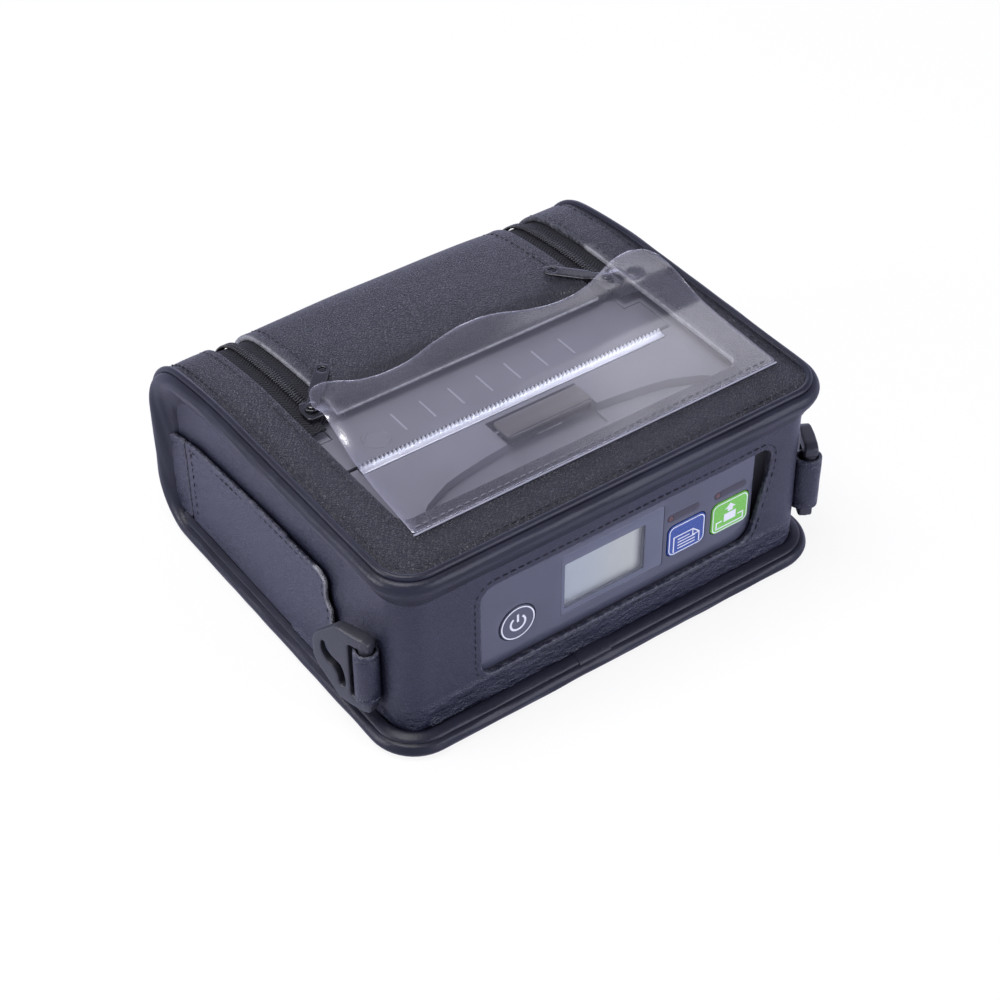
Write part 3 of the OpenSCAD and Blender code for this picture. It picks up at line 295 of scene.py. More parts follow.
def thread(name, tint):
    s = Surface(name, specular_ior_level=0.35)
    twist = s.noise(5200, 2)
    s.set("Base Color", s.colour(twist, tint, toned(tint, 2.2)))
    s.set("Roughness", 0.55 + twist * 0.3)
    s.bump(twist, 0.05)
    return s.material


# One leather in four tints: the top and rolls darker, the walls and side flap lighter and bluer. The
# differences are painted light and shade.
top_leather = leather("top_leather", (0.012, 0.012, 0.017), 0.9, 0.20, 0.38, 0.4)
wall_leather = leather("wall_leather", (0.017, 0.018, 0.036), 0.8, 0.11, 0.32, 0.5, True)
flap_leather = leather("side_flap_leather", (0.025, 0.026, 0.048), 0.8, 0.16, 0.32, 0.5)
roll_leather = edging("roll_leather", (0.010, 0.0105, 0.020), 0.33)
black_thread = thread("black_thread", (0.012, 0.012, 0.016))
print("leather materials:", top_leather.name, wall_leather.name, roll_leather.name)

# %% [markdown]
# ## Film, plastics and metals
#
# The clear cover is soft film. What shows of it is only the room that it
# reflects: a few hundredths face on, more where it turns away. A bright line
# along cut edges and a brighter band where its left side bends down are painted
# reflection, marked by an attribute on the mesh. So it is made as a thin
# mirror that lets nearly all light through. The printer's shell has the fine
# texture of a moulding tool. Steel shows the direction it was brushed in, so
# its noise is stretched along X, and the zips' tape has a woven zigzag.

# %% Film, plastics and metals
def plastic(name, tint, roughness, grain=1800, depth_mm=0.02, spread=0.12, **extra):
    """Moulded plastic; spread is how far its colour drifts either way."""
    s = Surface(name, **extra)
    fine, cloud = s.noise(grain, 3), s.noise(45, 3)
    s.set("Base Color", s.colour(cloud.step(0.25, 0.75), toned(tint, 1 - spread), toned(tint, 1 + spread)))
    s.set("Roughness", roughness + fine * 0.1 - 0.05)
    s.bump(fine, depth_mm)
    return s.material


def brushed(name, tint, roughness):
    s = Surface(name, metallic=1.0)
    lines = s.noise(900, 3, s.scaled(0.04, 1, 1))
    s.set("Base Color", s.colour(lines, toned(tint, 0.82), tint))
    s.set("Roughness", roughness + lines * 0.16)
    s.bump(lines, 0.01)
    return s.material


def clear_film():
    s = Surface("clear_film", roughness=0.15, metallic=1.0)
    facing = s.read("LayerWeight", "Facing", {}, {"Blend": 0.3})
    fold = s.attribute("fold")
    haze = s.noise(26, 3).step(0.35, 0.75)
    # The highlight attribute makes cut edges and the bent-down left side paler and more opaque: a painted
    # reflection.
    s.set("Base Color", s.colour(fold, (0.93, 0.91, 0.90), (0.96, 0.95, 0.96)))
    s.set("Alpha", 0.085 + facing ** 4 * 0.25 + fold * 0.45 + haze * 0.035)
    return s.material


def woven():
    s = Surface("zip_tape_weave", specular_ior_level=0.2)
    across, along, _ = s.parts(s.read("TexCoord", "UV"))
    column = across * 520
    phase = (along * 1500 + column.math("PINGPONG", column, 1.0) * 2.2) * math.pi
    ridge = phase.math("SINE", phase) * 0.5 + 0.5
    s.set("Base Color", s.colour(ridge, (0.008, 0.008, 0.010), (0.028, 0.028, 0.034)))
    s.set("Roughness", 0.8 - ridge * 0.15)
    s.bump(ridge + s.noise(3000, 2) * 0.4, 0.12)
    return s.material


film = clear_film()
tape_weave = woven()
coil_plastic = plastic("coil_plastic", (0.016, 0.016, 0.019), 0.36)
enamel = plastic("black_enamel", (0.010, 0.010, 0.013), 0.26, 900, 0.03, coat_weight=0.3)
ring_plastic = plastic("ring_plastic", (0.030, 0.031, 0.040), 0.42, 1400, 0.05)
shell_plastic = plastic("shell_plastic", (0.165, 0.163, 0.195), 0.38, 2200, 0.03, 0.05)
# Lighter than the shell: a painted highlight along the lid's ribs.
rib_highlight_plastic = plastic("rib_highlight_plastic", (0.30, 0.30, 0.36), 0.38, 2200, 0.03, 0.05)
lever_plastic = plastic("lever_plastic", (0.085, 0.077, 0.074), 0.40, 2200, 0.04)
# Real dark plastic inside, and also the dark strips that are painted shade in the lid's slot and under the
# lever.
dark_plastic = plastic("dark_plastic", (0.020, 0.020, 0.024), 0.45)
white_plastic = plastic("white_plastic", (0.72, 0.70, 0.66), 0.4, spread=0.04)
steel = brushed("steel", (0.80, 0.81, 0.83), 0.20)
aluminium = brushed("aluminium", (0.78, 0.79, 0.80), 0.34)
rubber = plastic("rubber", (0.030, 0.030, 0.034), 0.72, 3000, 0.05)
panel_film = plastic("panel_film", (0.074, 0.077, 0.113), 0.20, 2600, 0.01, 0.06)
key_ink = plastic("key_ink", (0.78, 0.79, 0.85), 0.35, spread=0.04)
print("film, plastics and metals ready")

# %% [markdown]
# ## Mesh tools for sewn panels
#
# Every panel of the case is a flat cut bent over the printer. So each is drawn
# flat, as an outline with holes, filled with a fine net of triangles and then
# put in place by a function of (along, across, height). The rim is rounded by
# a ring of loops, each moved in a little, which catches light as turned
# leather does.

# %% Mesh tools for sewn panels
NEAREST, ROW_GAP = 0.02, 0.87


def without_repeats(loop):
    """Drops the points of a loop that lie on the one before, in mm."""
    return loop[np.linalg.norm(loop - np.roll(loop, 1, 0), axis=1) > NEAREST]


def rounded(corners, radii, step=1.6):
    """A closed outline with round corners and points at most step apart."""
    n = len(corners)
    radii = [radii] * n if not hasattr(radii, "__len__") else radii
    points = []
    for i in range(n):
        before, corner, after = (np.array(corners[(i + k) % n], float) for k in (-1, 0, 1))
        a, b = before - corner, after - corner
        la, lb = np.linalg.norm(a), np.linalg.norm(b)
        a, b = a / la, b / lb
        half = math.acos(max(-1, min(1, float(a @ b)))) / 2
        if radii[i] <= 0 or half > 1.5:
            points.append(corner)
            continue
        reach = min(radii[i] / math.tan(half), 0.49 * la, 0.49 * lb)
        r = reach * math.tan(half)
        middle = corner + (a + b) / np.linalg.norm(a + b) * (r / math.sin(half))
        s, e = corner + a * reach - middle, corner + b * reach - middle
        turn = math.atan2(s[0] * e[1] - s[1] * e[0], float(s @ e))
        count = max(2, int(abs(turn) / 0.2), int(abs(turn) * r / step))
        for k in range(count + 1):
            c, d = math.cos(turn * k / count), math.sin(turn * k / count)
            points.append(middle + np.array([s[0] * c - s[1] * d, s[0] * d + s[1] * c]))
    full = []
    for p, q in zip(points, points[1:] + points[:1]):
        length = np.linalg.norm(q - p)
        count = max(1, math.ceil(length / step - 0.3))
        full += [p + (q - p) * k / count for k in range(count)]
    return without_repeats(np.array(full))


def loop_area(loop):
    """Positive where the loop runs anticlockwise."""
    x, y = loop.T
    return 0.5 * float(np.sum(x * np.roll(y, -1) - np.roll(x, -1) * y))


def inset(loop, d):
    """Moves a closed loop to its left by d."""
    a = loop - np.roll(loop, 1, 0)
    b = np.roll(loop, -1, 0) - loop
    na, nb = (np.stack([-v[:, 1], v[:, 0]], 1) / np.linalg.norm(v, axis=1)[:, None] for v in (a, b))
    n = na + nb
    n /= np.maximum(np.linalg.norm(n, axis=1), 1e-6)[:, None]
    return loop + n * (d / np.maximum((n * na).sum(1), 0.6))[:, None]


def edge_distance(points, loops):
    """How far each point is from the nearest loop."""
    best = np.full(len(points), 1e9)
    for loop in loops:
        d = np.roll(loop, -1, 0) - loop
        t = np.clip(((points[:, None] - loop) * d).sum(2) / np.maximum((d * d).sum(1), 1e-12), 0, 1)
        best = np.minimum(best, np.linalg.norm(points[:, None] - loop - t[..., None] * d, axis=2).min(1))
    return best


def inside(points, loops):
    """Which points lie within the outline and outside its holes."""
    odd = np.zeros(len(points), bool)
    px, py = points[:, :1], points[:, 1:]
    for loop in loops:
        (x0, y0), (x1, y1) = loop.T, np.roll(loop, -1, 0).T
        rise = np.where(y1 == y0, 1e-9, y1 - y0)
        hit = ((y0 <= py) != (y1 <= py)) & (px < (x1 - x0) * (py - y0) / rise + x0)
        odd ^= hit.sum(1) % 2 == 1
    return odd


def make(name, verts, faces, body, material, sharp=40, uv=None, marks={}):
    """A mesh object that rides on a body, smooth but for its sharp edges."""
    mesh = bpy.data.meshes.new(name)
    mesh.from_pydata([tuple(v) for v in verts], [], [tuple(f) for f in faces])
    for key, values in marks.items():
        mesh.attributes.new(key, "FLOAT", "POINT").data.foreach_set("value", values)
    if uv is not None:
        layer = mesh.uv_layers.new(name="UVMap")
        for item in mesh.loops:
            layer.data[item.index].uv = uv[item.vertex_index]
    bm = bmesh.new()
    bm.from_mesh(mesh)
    bmesh.ops.recalc_face_normals(bm, faces=bm.faces)
    for face in bm.faces:
        face.smooth = True
    for edge in bm.edges:
        edge.smooth = len(edge.link_faces) != 2 or edge.calc_face_angle() < math.radians(sharp)
    bm.to_mesh(mesh)
    bm.free()
    mesh.materials.append(material)
    ob = bpy.data.objects.new(name, mesh)
    bpy.context.scene.collection.objects.link(ob)
    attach(ob, body)
    return ob


def sheet(name, loops, place, thick, body, material, step=2.4, rim=0.45, lift=None, fold=None, sharp=40):
    """A cut sheet of the given thickness in mm. loops are its outline and its
    holes, and place puts (u, v, height) into the world. lift(u, v, d) moves
    both faces up, d mm from the cut edge, and the function after it marks
    where a painted highlight goes."""
    loops = [loop if (loop_area(loop) > 0) == (i == 0) else loop[::-1] for i, loop in enumerate(loops)]
    inner = [inset(loop, rim) for loop in loops]
    low, high = loops[0].min(0), loops[0].max(0)
    rows = enumerate(np.arange(low[1], high[1], step * ROW_GAP))
    grid = np.array([(u + (j % 2) * step / 2, v) for j, v in rows for u in np.arange(low[0], high[0], step)])
    grid = grid[inside(grid, inner)]
    grid = grid[edge_distance(grid, inner) > step * 0.5]
    flat = np.concatenate(inner + [grid])
    areas, start = [], 0
    for loop in inner:
        areas.append(list(range(start, start + len(loop)))[::1 if start == 0 else -1])
        start += len(loop)
    got = delaunay_2d_cdt([Vector(p) for p in flat], [], areas, 0, 1e-5)
    tris = [[got[3][i][0] for i in f] for f, within in zip(got[2], got[5]) if within == [0]]
    far = edge_distance(flat, loops)
    rings = [(rim * (1 - math.sin(a)), -rim * (1 - math.cos(a))) for a in (0.52, 1.05, math.pi / 2)]
    rings += [(d, -thick - h) for d, h in reversed(rings)]
    verts, uv, rims = [], [], []

    def lay(points, height, distances):
        for (u, v), d in zip(points, distances):
            up = lift(u, v, d) if lift else 0
            verts.append(place(u, v, height + up))
            uv.append((u * MM, v * MM))
            rims.append(d)

    lay(flat, 0, far)
    lay(flat, -thick, far)
    n, faces = len(flat), [tuple(t) for t in tris]
    faces += [(t[2] + n, t[1] + n, t[0] + n) for t in tris]
    start = 0
    for loop in loops:
        count = len(loop)
        chain = [start]
        for d, h in rings:
            chain.append(len(verts))
            lay(inset(loop, d), h, [d] * count)
        chain.append(start + n)
        for a, b in zip(chain, chain[1:]):
            faces += [(a + k, a + (k + 1) % count, b + (k + 1) % count, b + k) for k in range(count)]
        start += count
    marks = {"rim": rims}
    # The painted highlight is stored as a point attribute for the material.
    if fold:
        marks["fold"] = [fold(u / MM, v / MM, d) for (u, v), d in zip(uv, rims)]
    return make(name, verts, faces, body, material, sharp, uv, marks)


def sweep(name, rings, body, material, closed=True, sharp=50):
    """Joins closed cross-sections, each a list of points, into a tube."""
    n, m = len(rings), len(rings[0])
    verts = [p for ring in rings for p in ring]
    faces = [(i * m + k, i * m + (k + 1) % m, (i + 1) % n * m + (k + 1) % m, (i + 1) % n * m + k)
             for i in range(n if closed else n - 1) for k in range(m)]
    if not closed:
        faces += [tuple(range(m)), tuple(range((n - 1) * m, n * m))]
    return make(name, verts, faces, body, material, sharp)


def curve_through(points, per=3, closed=True):
    """Catmull-Rom points through a list of points."""
    p = np.array(points, float)
    n = len(p)
    out = []
    for i in range(n if closed else n - 1):
        a, b, c, d = (p[(i + k) % n] if closed else p[min(max(i + k, 0), n - 1)] for k in (-1, 0, 1, 2))
        for t in np.arange(per) / per:
            square, cube = (2 * a - 5 * b + 4 * c - d) * t ** 2, (3 * b - a - 3 * c + d) * t ** 3
            out.append(0.5 * (2 * b + (c - a) * t + square + cube))
    return np.array(out if closed else out + [p[-1]])


print("mesh tools ready")

# %% [markdown]
# ## Stitches and other repeats by Geometry Nodes
#
# A seam is one short piece of thread, repeated hundreds of times. A node group
# puts a copy of a small object on each point, turned by two attributes that
# say where up and along are, with a little random turn so no two stitches are
# alike. Its result is turned into a plain mesh, which rides on its body.

# %% Stitches and other repeats
def repeat_group():
    """The node group: its inputs are the piece, its wobble and its material."""
    tree = bpy.data.node_groups.new("repeat_along", "GeometryNodeTree")
    face = tree.interface
    inputs = {"Geometry": "Geometry", "Piece": "Object", "Wobble": "Float", "Material": "Material"}
    for title, kind in inputs.items():
        face.new_socket(name=title, in_out="INPUT", socket_type="NodeSocket" + kind)
    face.new_socket(name="Geometry", in_out="OUTPUT", socket_type="NodeSocketGeometry")
    new, link = tree.nodes.new, tree.links.new
    given, result = new("NodeGroupInput"), new("NodeGroupOutput")

    def named(title):
        node = new("GeometryNodeInputNamedAttribute")
        node.data_type = "FLOAT_VECTOR"
        node.inputs["Name"].default_value = title
        return node.outputs["Attribute"]

    turn = new("FunctionNodeAxesToRotation")
    turn.primary_axis, turn.secondary_axis = "Z", "X"
    link(named("up"), turn.inputs[0])
    link(named("along"), turn.inputs[1])
    chance = new("FunctionNodeRandomValue")
    chance.data_type = "FLOAT_VECTOR"
    chance.inputs["Min"].default_value = (-1, -1, -1)
    chance.inputs["Seed"].default_value = 7
    scale = new("ShaderNodeVectorMath")
    scale.operation = "SCALE"
    link(chance.outputs["Value"], scale.inputs[0])
    link(given.outputs["Wobble"], scale.inputs["Scale"])
    to_turn = new("FunctionNodeEulerToRotation")
    link(scale.outputs[0], to_turn.inputs[0])
    both = new("FunctionNodeRotateRotation")
    both.rotation_space = "LOCAL"
    link(turn.outputs[0], both.inputs[0])
    link(to_turn.outputs[0], both.inputs[1])
    piece = new("GeometryNodeObjectInfo")
    link(given.outputs["Piece"], piece.inputs[0])
    copies = new("GeometryNodeInstanceOnPoints")
    link(given.outputs["Geometry"], copies.inputs["Points"])
    link(piece.outputs["Geometry"], copies.inputs["Instance"])
    link(both.outputs[0], copies.inputs["Rotation"])
    real, paint = new("GeometryNodeRealizeInstances"), new("GeometryNodeSetMaterial")
    link(copies.outputs[0], real.inputs[0])
    link(real.outputs[0], paint.inputs[0])
    link(given.outputs["Material"], paint.inputs["Material"])
    link(paint.outputs[0], result.inputs[0])
    return tree


repeat_tree = repeat_group()


def plain_object(name, verts, faces):
    mesh = bpy.data.meshes.new(name)
    mesh.from_pydata([tuple(v) for v in verts], [], faces)
    mesh.polygons.foreach_set("use_smooth", [True] * len(faces))
    ob = bpy.data.objects.new(name, mesh)
    bpy.context.scene.collection.objects.link(ob)
    return ob


def capsule(length, wide, high, dip=0.0, sides=8):
    """A thread-like piece along X in mm, its ends pulled down by dip."""
    profile = [(-1, 0.25), (-0.86, 0.75), (-0.45, 1), (0.45, 1), (0.86, 0.75), (1, 0.25)]
    verts, faces = [], []
    for t, r in profile:
        for k in range(sides):
            a = k * 2 * math.pi / sides
            verts.append(Vector((t * length / 2, math.cos(a) * r * wide / 2,
                                 math.sin(a) * r * high / 2 - dip * t * t)) * MM)
    last = (len(profile) - 1) * sides
    for i in range(0, last, sides):
        ring = [(i + k, i + (k + 1) % sides) for k in range(sides)]
        faces += [(a, b, b + sides, a + sides) for a, b in ring]
    faces += [tuple(range(sides - 1, -1, -1)), tuple(range(last, last + sides))]
    return verts, faces


def repeat(name, spots, piece, body, material, wobble=0.04):
    """Copies piece (vertices, faces) onto spots, each (point, along, up)."""
    carrier = plain_object(name, [p for p, _, _ in spots], [])
    for key, index in (("along", 1), ("up", 2)):
        data = carrier.data.attributes.new(key, "FLOAT_VECTOR", "POINT").data
        data.foreach_set("vector", np.array([s[index] for s in spots], float).ravel())
    source = plain_object(name + "_piece", *piece)
    modifier = carrier.modifiers.new("repeat", "NODES")
    modifier.node_group = repeat_tree
    values = {"Piece": source, "Wobble": wobble, "Material": material}
    for item in repeat_tree.interface.items_tree:
        if item.name in values:
            modifier[item.identifier] = values[item.name]
    bpy.context.view_layer.update()
    real = bpy.data.meshes.new_from_object(carrier.evaluated_get(bpy.context.evaluated_depsgraph_get()))
    for ob in (carrier, source):
        bpy.data.objects.remove(ob)
    real.name = name
    ob = bpy.data.objects.new(name, real)
    bpy.context.scene.collection.objects.link(ob)
    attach(ob, body)
    return ob


def seam(path, place, pitch=3.0, closed=False, height=0.05):
    """Spots at even steps along a flat path of (u, v), put in place."""
    p = np.array(path, float)
    if closed:
        p = np.concatenate([p, p[:1]])
    reach = np.concatenate([[0], np.cumsum(np.linalg.norm(np.diff(p, axis=0), axis=1))])
    count = max(2, round(reach[-1] / pitch))
    spots = []
    for k in range(count):
        around_it = (k + np.array([0.35, 0.5, 0.65])) / count * reach[-1]
        u, v = (np.interp(around_it, reach, p[:, i]) for i in (0, 1))
        here = place(u[1], v[1], height)
        along = place(u[2], v[2], height) - place(u[0], v[0], height)
        spots.append((here, along.normalized(), (place(u[1], v[1], height + 1) - here).normalized()))
    return spots


stitch = capsule(2.1, 0.42, 0.40, 0.16)
print("repeat group has", len(repeat_tree.nodes), "nodes")

# %% [markdown]
# ## The surfaces that carry the panels
#
# The top panel runs level from the front, falls a little, turns over the rear
# and under into the base. One table of that line gives the place and the
# outward direction at any distance along it. The wall is one strip that goes
# round the front corners, so it has such a function too. The numbers are the
# case's own sizes in millimetres. Three short formulas shape what is soft: a
# slow random wave, a bell for a seam or a crease, and a ramp with soft ends.

# %% Surfaces that carry the panels
HALF, DEPTH, TOP, CORNER = 78.0, 142.0, 71.2, 10.0
FALL_FROM, FALL_ANGLE, BACK_TOP, BACK_LOW = 88.0, math.radians(10), 24.0, 20.0
LEATHER, ARC_STEPS = 2.0, 30
fall_r = (DEPTH - BACK_TOP + BACK_TOP * math.sin(FALL_ANGLE) - FALL_FROM) / math.sin(FALL_ANGLE)
back_z = TOP - fall_r * (1 - math.cos(FALL_ANGLE)) - BACK_TOP * math.cos(FALL_ANGLE)
line = [(0, TOP, 90), (FALL_FROM, TOP, 90)]
for cy, cz, r, a0, a1 in (
        (FALL_FROM, TOP - fall_r, fall_r, 90, 80),
        (DEPTH - BACK_TOP, back_z, BACK_TOP, 80, 0),
        (DEPTH - BACK_LOW, BACK_LOW, BACK_LOW, 0, -90)):
    for k in range(ARC_STEPS + 1):
        a = math.radians(a0 + (a1 - a0) * k / ARC_STEPS)
        line.append((cy + r * math.cos(a), cz + r * math.sin(a), math.degrees(a)))
line.append((0, 0, -90))
line = np.array(line)
line_at = np.concatenate([[0], np.cumsum(np.hypot(*np.diff(line[:, :2], axis=0).T))])
LINE_END = line_at[-1]


def over(x, s, height=0.0):
    """A point above the top and rear panel, s mm along it from the front."""
    y, z, a = (float(np.interp(s, line_at, line[:, k])) for k in range(3))
    a = math.radians(a)
    return at(x, y + height * math.cos(a), z + height * math.sin(a))


def along_rear(z):
    """How far along the panel the rear reaches the height z."""
    rear = line_at > FALL_FROM + 20
    return float(np.interp(-z, -line[rear, 1], line_at[rear]))


BEND = (HALF - CORNER) + CORNER * math.pi / 2


def around(u, z, height=0.0):
    """A point on the walls: u mm from the middle of the front, right positive."""
    side = 1 if u > 0 else -1
    u = abs(u)
    a = min(max((u - (HALF - CORNER)) / CORNER, 0), math.pi / 2)
    x = min(u, HALF - CORNER) + (CORNER + height) * math.sin(a)
    y = CORNER - (CORNER + height) * math.cos(a) + max(u - BEND, 0)
    return at(side * x, y, z)


def wobble(u, v, size, depth):
    """A slow random height, as soft pieces lie."""
    return depth * noise.noise(Vector((u / size, v / size, size)))


def bell(distance, width):
    """1 on a line, falling to nothing about two widths from it."""
    return math.exp(-(distance / width) ** 2)


def ramp(value, start, length):
    """0 up to start, 1 from start + length on, straight between them."""
    return min(max((value - start) / length, 0), 1)


def eased(share):
    """The same share with soft ends."""
    return share * share * (3 - 2 * share)


print("panel line is", round(LINE_END, 1), "mm long")

# %% [markdown]
# ## Front and side walls
#
# One strip of leather wraps the printer from one rear corner round the front
# to the other. Its window has turned edges with a row of stitches, and its
# right side leans, because the leather is pulled there. Around the hole the
# strip dips at the stitches, and the rest waves a little, as sewn leather
# does. Creases fan out over the foot of the front, where the strip is gathered
# under, and each is a line from end to end with a depth and a width.

# %% Front and side walls
WINDOW_SEAM, PORT_FRONT, PORT_LONG = 2.1, 60, 48
profile = [(y - LEATHER * math.cos(math.radians(a)), z - LEATHER * math.sin(math.radians(a)))
           for y, z, a in line[1:-1]]
right = [(BEND + y - CORNER, z) for y, z in reversed(profile)]
brow = [(u, TOP - LEATHER) for u in np.arange(right[-1][0] - 3, -right[-1][0], -3)]
wall_cut = np.array(right + brow + [(-u, z) for u, z in reversed(right)])
wall_cut = np.concatenate([wall_cut, [(u, LEATHER) for u in np.arange(wall_cut[-1, 0] + 3, right[0][0], 3)]])
wall_cut = without_repeats(wall_cut)
window = rounded([(-50, 16.7), (54.6, 16.7), (61, 44), (61, 52), (-50, 52)], [5, 6, 12, 4.5, 5], 1.2)
port_u = -BEND - (PORT_FRONT - CORNER)
port_rear = port_u - PORT_LONG
port_hole = rounded([(port_u, 17), (port_rear, 17), (port_rear, 31), (port_u, 31)], 2, 1.5)
creases = [
    ((-86, 9), (-77, 5), 1.0, 1.7), ((-82, 15), (-77, 8), 0.5, 1.3), ((-71, 5), (-66, 9.5), 1.3, 1.6),
    ((-66, 9.5), (-54, 10.5), 1.1, 1.6), ((-64, 6), (-50, 7.5), 0.7, 1.2), ((-52, 13), (-42, 11), 0.5, 1.4),
    ((-18, 9.5), (-3, 9), 0.7, 1.3), ((-17, 13), (-12, 9), 0.4, 1.2),
    ((60, 22), (56, 14), 0.5, 1.5), ((66, 12), (58, 9), 0.6, 1.2)]


def crease_depth(u, v):
    depth = 0
    for (u0, v0), (u1, v1), size, wide in creases:
        du, dv = u1 - u0, v1 - v0
        t = min(max(((u - u0) * du + (v - v0) * dv) / (du * du + dv * dv), 0), 1)
        depth += size * math.exp(-((u - u0 - t * du) ** 2 + (v - v0 - t * dv) ** 2) / wide ** 2)
    return depth


def wall_lift(u, z, d):
    soft = wobble(u, z, 26, 0.22) + wobble(u + 50, z, 9, 0.08)
    low = 0.28 * noise.noise(Vector((u / 2.6, z / 1.3, 3))) * (1 - ramp(z, 13.5, 2)) * (abs(u) < 66)
    return soft + low - crease_depth(u, z) - 0.3 * bell(d - WINDOW_SEAM, 0.8)


walls = sheet("case_walls", [wall_cut, window, port_hole], around, LEATHER, "case", wall_leather,
              step=2.0, rim=0.55, lift=wall_lift)
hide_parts("case_band")
window_seam = inset(window if loop_area(window) < 0 else window[::-1], WINDOW_SEAM)
repeat("window_stitches", seam(window_seam, around, 2.9, True, -0.15), stitch, "case", black_thread)
print("walls:", len(walls.data.polygons), "faces")

# %% [markdown]
# ## Top and rear panel
#
# The top panel turns down over the rear in one piece and has a long slot that
# the printer shows through. Near the piping it is pulled down, and rows of
# stitches follow its border and both sides of the slot. The base is a flat cut
# of the wall's leather, and shows only when the case is turned over.

# %% Top and rear panel
SLOT_X, SLOT_FRONT, BORDER_SEAM, SLOT_SEAM = 63, 21, 2.4, 2.4
slot_end = along_rear(15.0)
panel_end = LINE_END - (DEPTH - BACK_LOW)


def rear_cut(x, front, end, radii, step=2):
    """A cut as wide on both sides of the middle, from front to end along the line."""
    return rounded([(-x, front), (x, front), (x, end), (-x, end)], radii, step)


panel_cut = rear_cut(HALF + 0.3, -0.3, panel_end, [CORNER + 0.3, CORNER + 0.3, 0, 0])
slot_cut = rear_cut(SLOT_X, SLOT_FRONT, slot_end, [4, 4, 1.5, 1.5])


def panel_lift(x, s, d):
    border = min(HALF - abs(x), s)
    seams = 0.25 * bell(border - BORDER_SEAM - 0.2, 0.8) + 0.2 * bell(d - SLOT_SEAM, 0.8)
    return wobble(x, s, 22, 0.3) - 0.55 * bell(max(border, 0), 1.3) - seams


def slot_edge_highlight(x, s, d):
    """Painted highlight on the slot's right edge, which faces the key lamp."""
    return 0.7 * bell(d, 0.5) * (abs(x - SLOT_X) < 3 and SLOT_FRONT + 1 < s < 100)


top_panel = sheet("case_top_panel", [panel_cut, slot_cut], over, LEATHER, "case", top_leather, step=2.4,
                  rim=0.6, lift=panel_lift, fold=slot_edge_highlight)
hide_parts("case_wrap_panel")
border_row = rear_cut(HALF - BORDER_SEAM, BORDER_SEAM, panel_end - 2, [7.8, 7.8, 0, 0])
spots = seam(border_row, over, 3.0, True, -0.2)
for side in (-1, 1):
    beside_slot = [(side * (SLOT_X + SLOT_SEAM), s) for s in np.arange(16, slot_end, 2)]
    spots += seam(beside_slot, over, 3.0, False, -0.1)
repeat("top_panel_stitches", spots, stitch, "case", black_thread)
base_cut = rear_cut(HALF + 1.6, -1.6, DEPTH - BACK_LOW, [CORNER + 1.5, CORNER + 1.5, 0, 0], 3)
base_panel = sheet("case_base", [base_cut], lambda x, y, h: at(x, y, -h), LEATHER, "case", wall_leather,
                   step=5, rim=0.5, lift=lambda x, y, d: -0.15 - abs(wobble(x, y, 30, 0.3)))
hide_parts("case_base_panel")
print("top panel:", len(top_panel.data.polygons), "faces,", len(spots), "stitches")

# %% [markdown]
# ## Rolled edges
#
# Along the top the wall is folded over a cord into a tall soft shoulder, along
# the base into a flatter band, with a thin welt between roll and panel. Both
# are one loop round the whole case. At each step of that loop a cross-section
# is placed, and its shape changes slowly from the top one to the base one. The
# welt's two ends overlap at the foot of the front, where it is a little thicker.

# %% Rolled edges
def edge_steps():
    """(corner of wall and panel, outwards, away from the panel, share of base)"""
    low_from = along_rear(26)

    def rail(side):
        out = []
        for s in np.concatenate([np.arange(CORNER, LINE_END - CORNER, 2.2), [LINE_END - CORNER]]):
            corner = over(side * HALF, s)
            up = (over(side * HALF, s, 1) - corner).normalized()
            out.append((corner, Vector((side, 0, 0)), up, eased(ramp(s, low_from, panel_end - low_from))))
        return out

    def turn(side, z, up, share, a0, a1):
        out = []
        for k in range(1, 12):
            a = math.radians(a0 + (a1 - a0) * k / 12)
            c, s = math.cos(a), math.sin(a)
            out.append((at(side * (HALF - CORNER) + CORNER * c, CORNER + CORNER * s, z),
                        Vector((c, s, 0)), Vector((0, 0, up)), share))
        return out

    def straight(z, up, share, way):
        xs = np.linspace(-(HALF - CORNER), HALF - CORNER, 56) * way
        return [(at(x, 0, z), Vector((0, -1, 0)), Vector((0, 0, up)), share) for x in xs]

    base = turn(-1, 0, -1, 1, 180, 270) + straight(0, -1, 1, 1) + turn(1, 0, -1, 1, 270, 360)
    top = turn(1, TOP, 1, 0, 360, 270) + straight(TOP, 1, 0, -1) + turn(-1, TOP, 1, 0, 270, 180)
    return rail(-1) + base + rail(1)[::-1] + top


top_roll = [(-1.0, -1.6), (0.8, -1.2), (2.3, -1.0), (3.6, -1.5), (4.4, -2.6), (4.6, -3.9), (4.2, -5.5),
            (3.3, -7.3), (2.3, -9.0), (1.4, -10.6), (0.5, -12.0), (-1.0, -12.6)]
base_roll = [(-1.0, -0.5), (0.6, -0.15), (2.4, -0.05), (4.0, -0.3), (5.2, -1.1), (5.8, -2.3), (5.7, -3.5),
             (4.9, -4.6), (3.6, -5.1), (2.2, -5.0), (0.6, -4.6), (-1.0, -4.2)]
clock = np.arange(12) * math.pi / 6
WELT_OUT, WELT_DROP = 1.9, -5.9
top_welt = [(1.0 + 1.2 * math.cos(a), -0.55 + 1.1 * math.sin(a)) for a in clock]
base_welt = [(WELT_OUT + 1.9 * math.cos(a) * 0.94 + 0.6 * math.sin(a) * 0.35,
              WELT_DROP + 1.9 * math.cos(a) * 0.34 + 0.6 * math.sin(a)) for a in clock]


def edge_rings(top, base, rough, per=3):
    """Cross-sections round the whole case; rough is how unevenly they are padded."""
    top, base = curve_through(top, per), curve_through(base, per)
    rings = []
    for i, (corner, out, up, share) in enumerate(edge_steps()):
        ring = []
        for k, (o, q) in enumerate(top + (base - top) * share):
            puff = 1 + rough * noise.noise(corner * 90 + Vector((0, 0, k * 0.3)))
            ring.append(corner + (out * o * puff + up * q * (1 + (puff - 1) * 0.5)) * MM)
        rings.append(ring)
    return rings


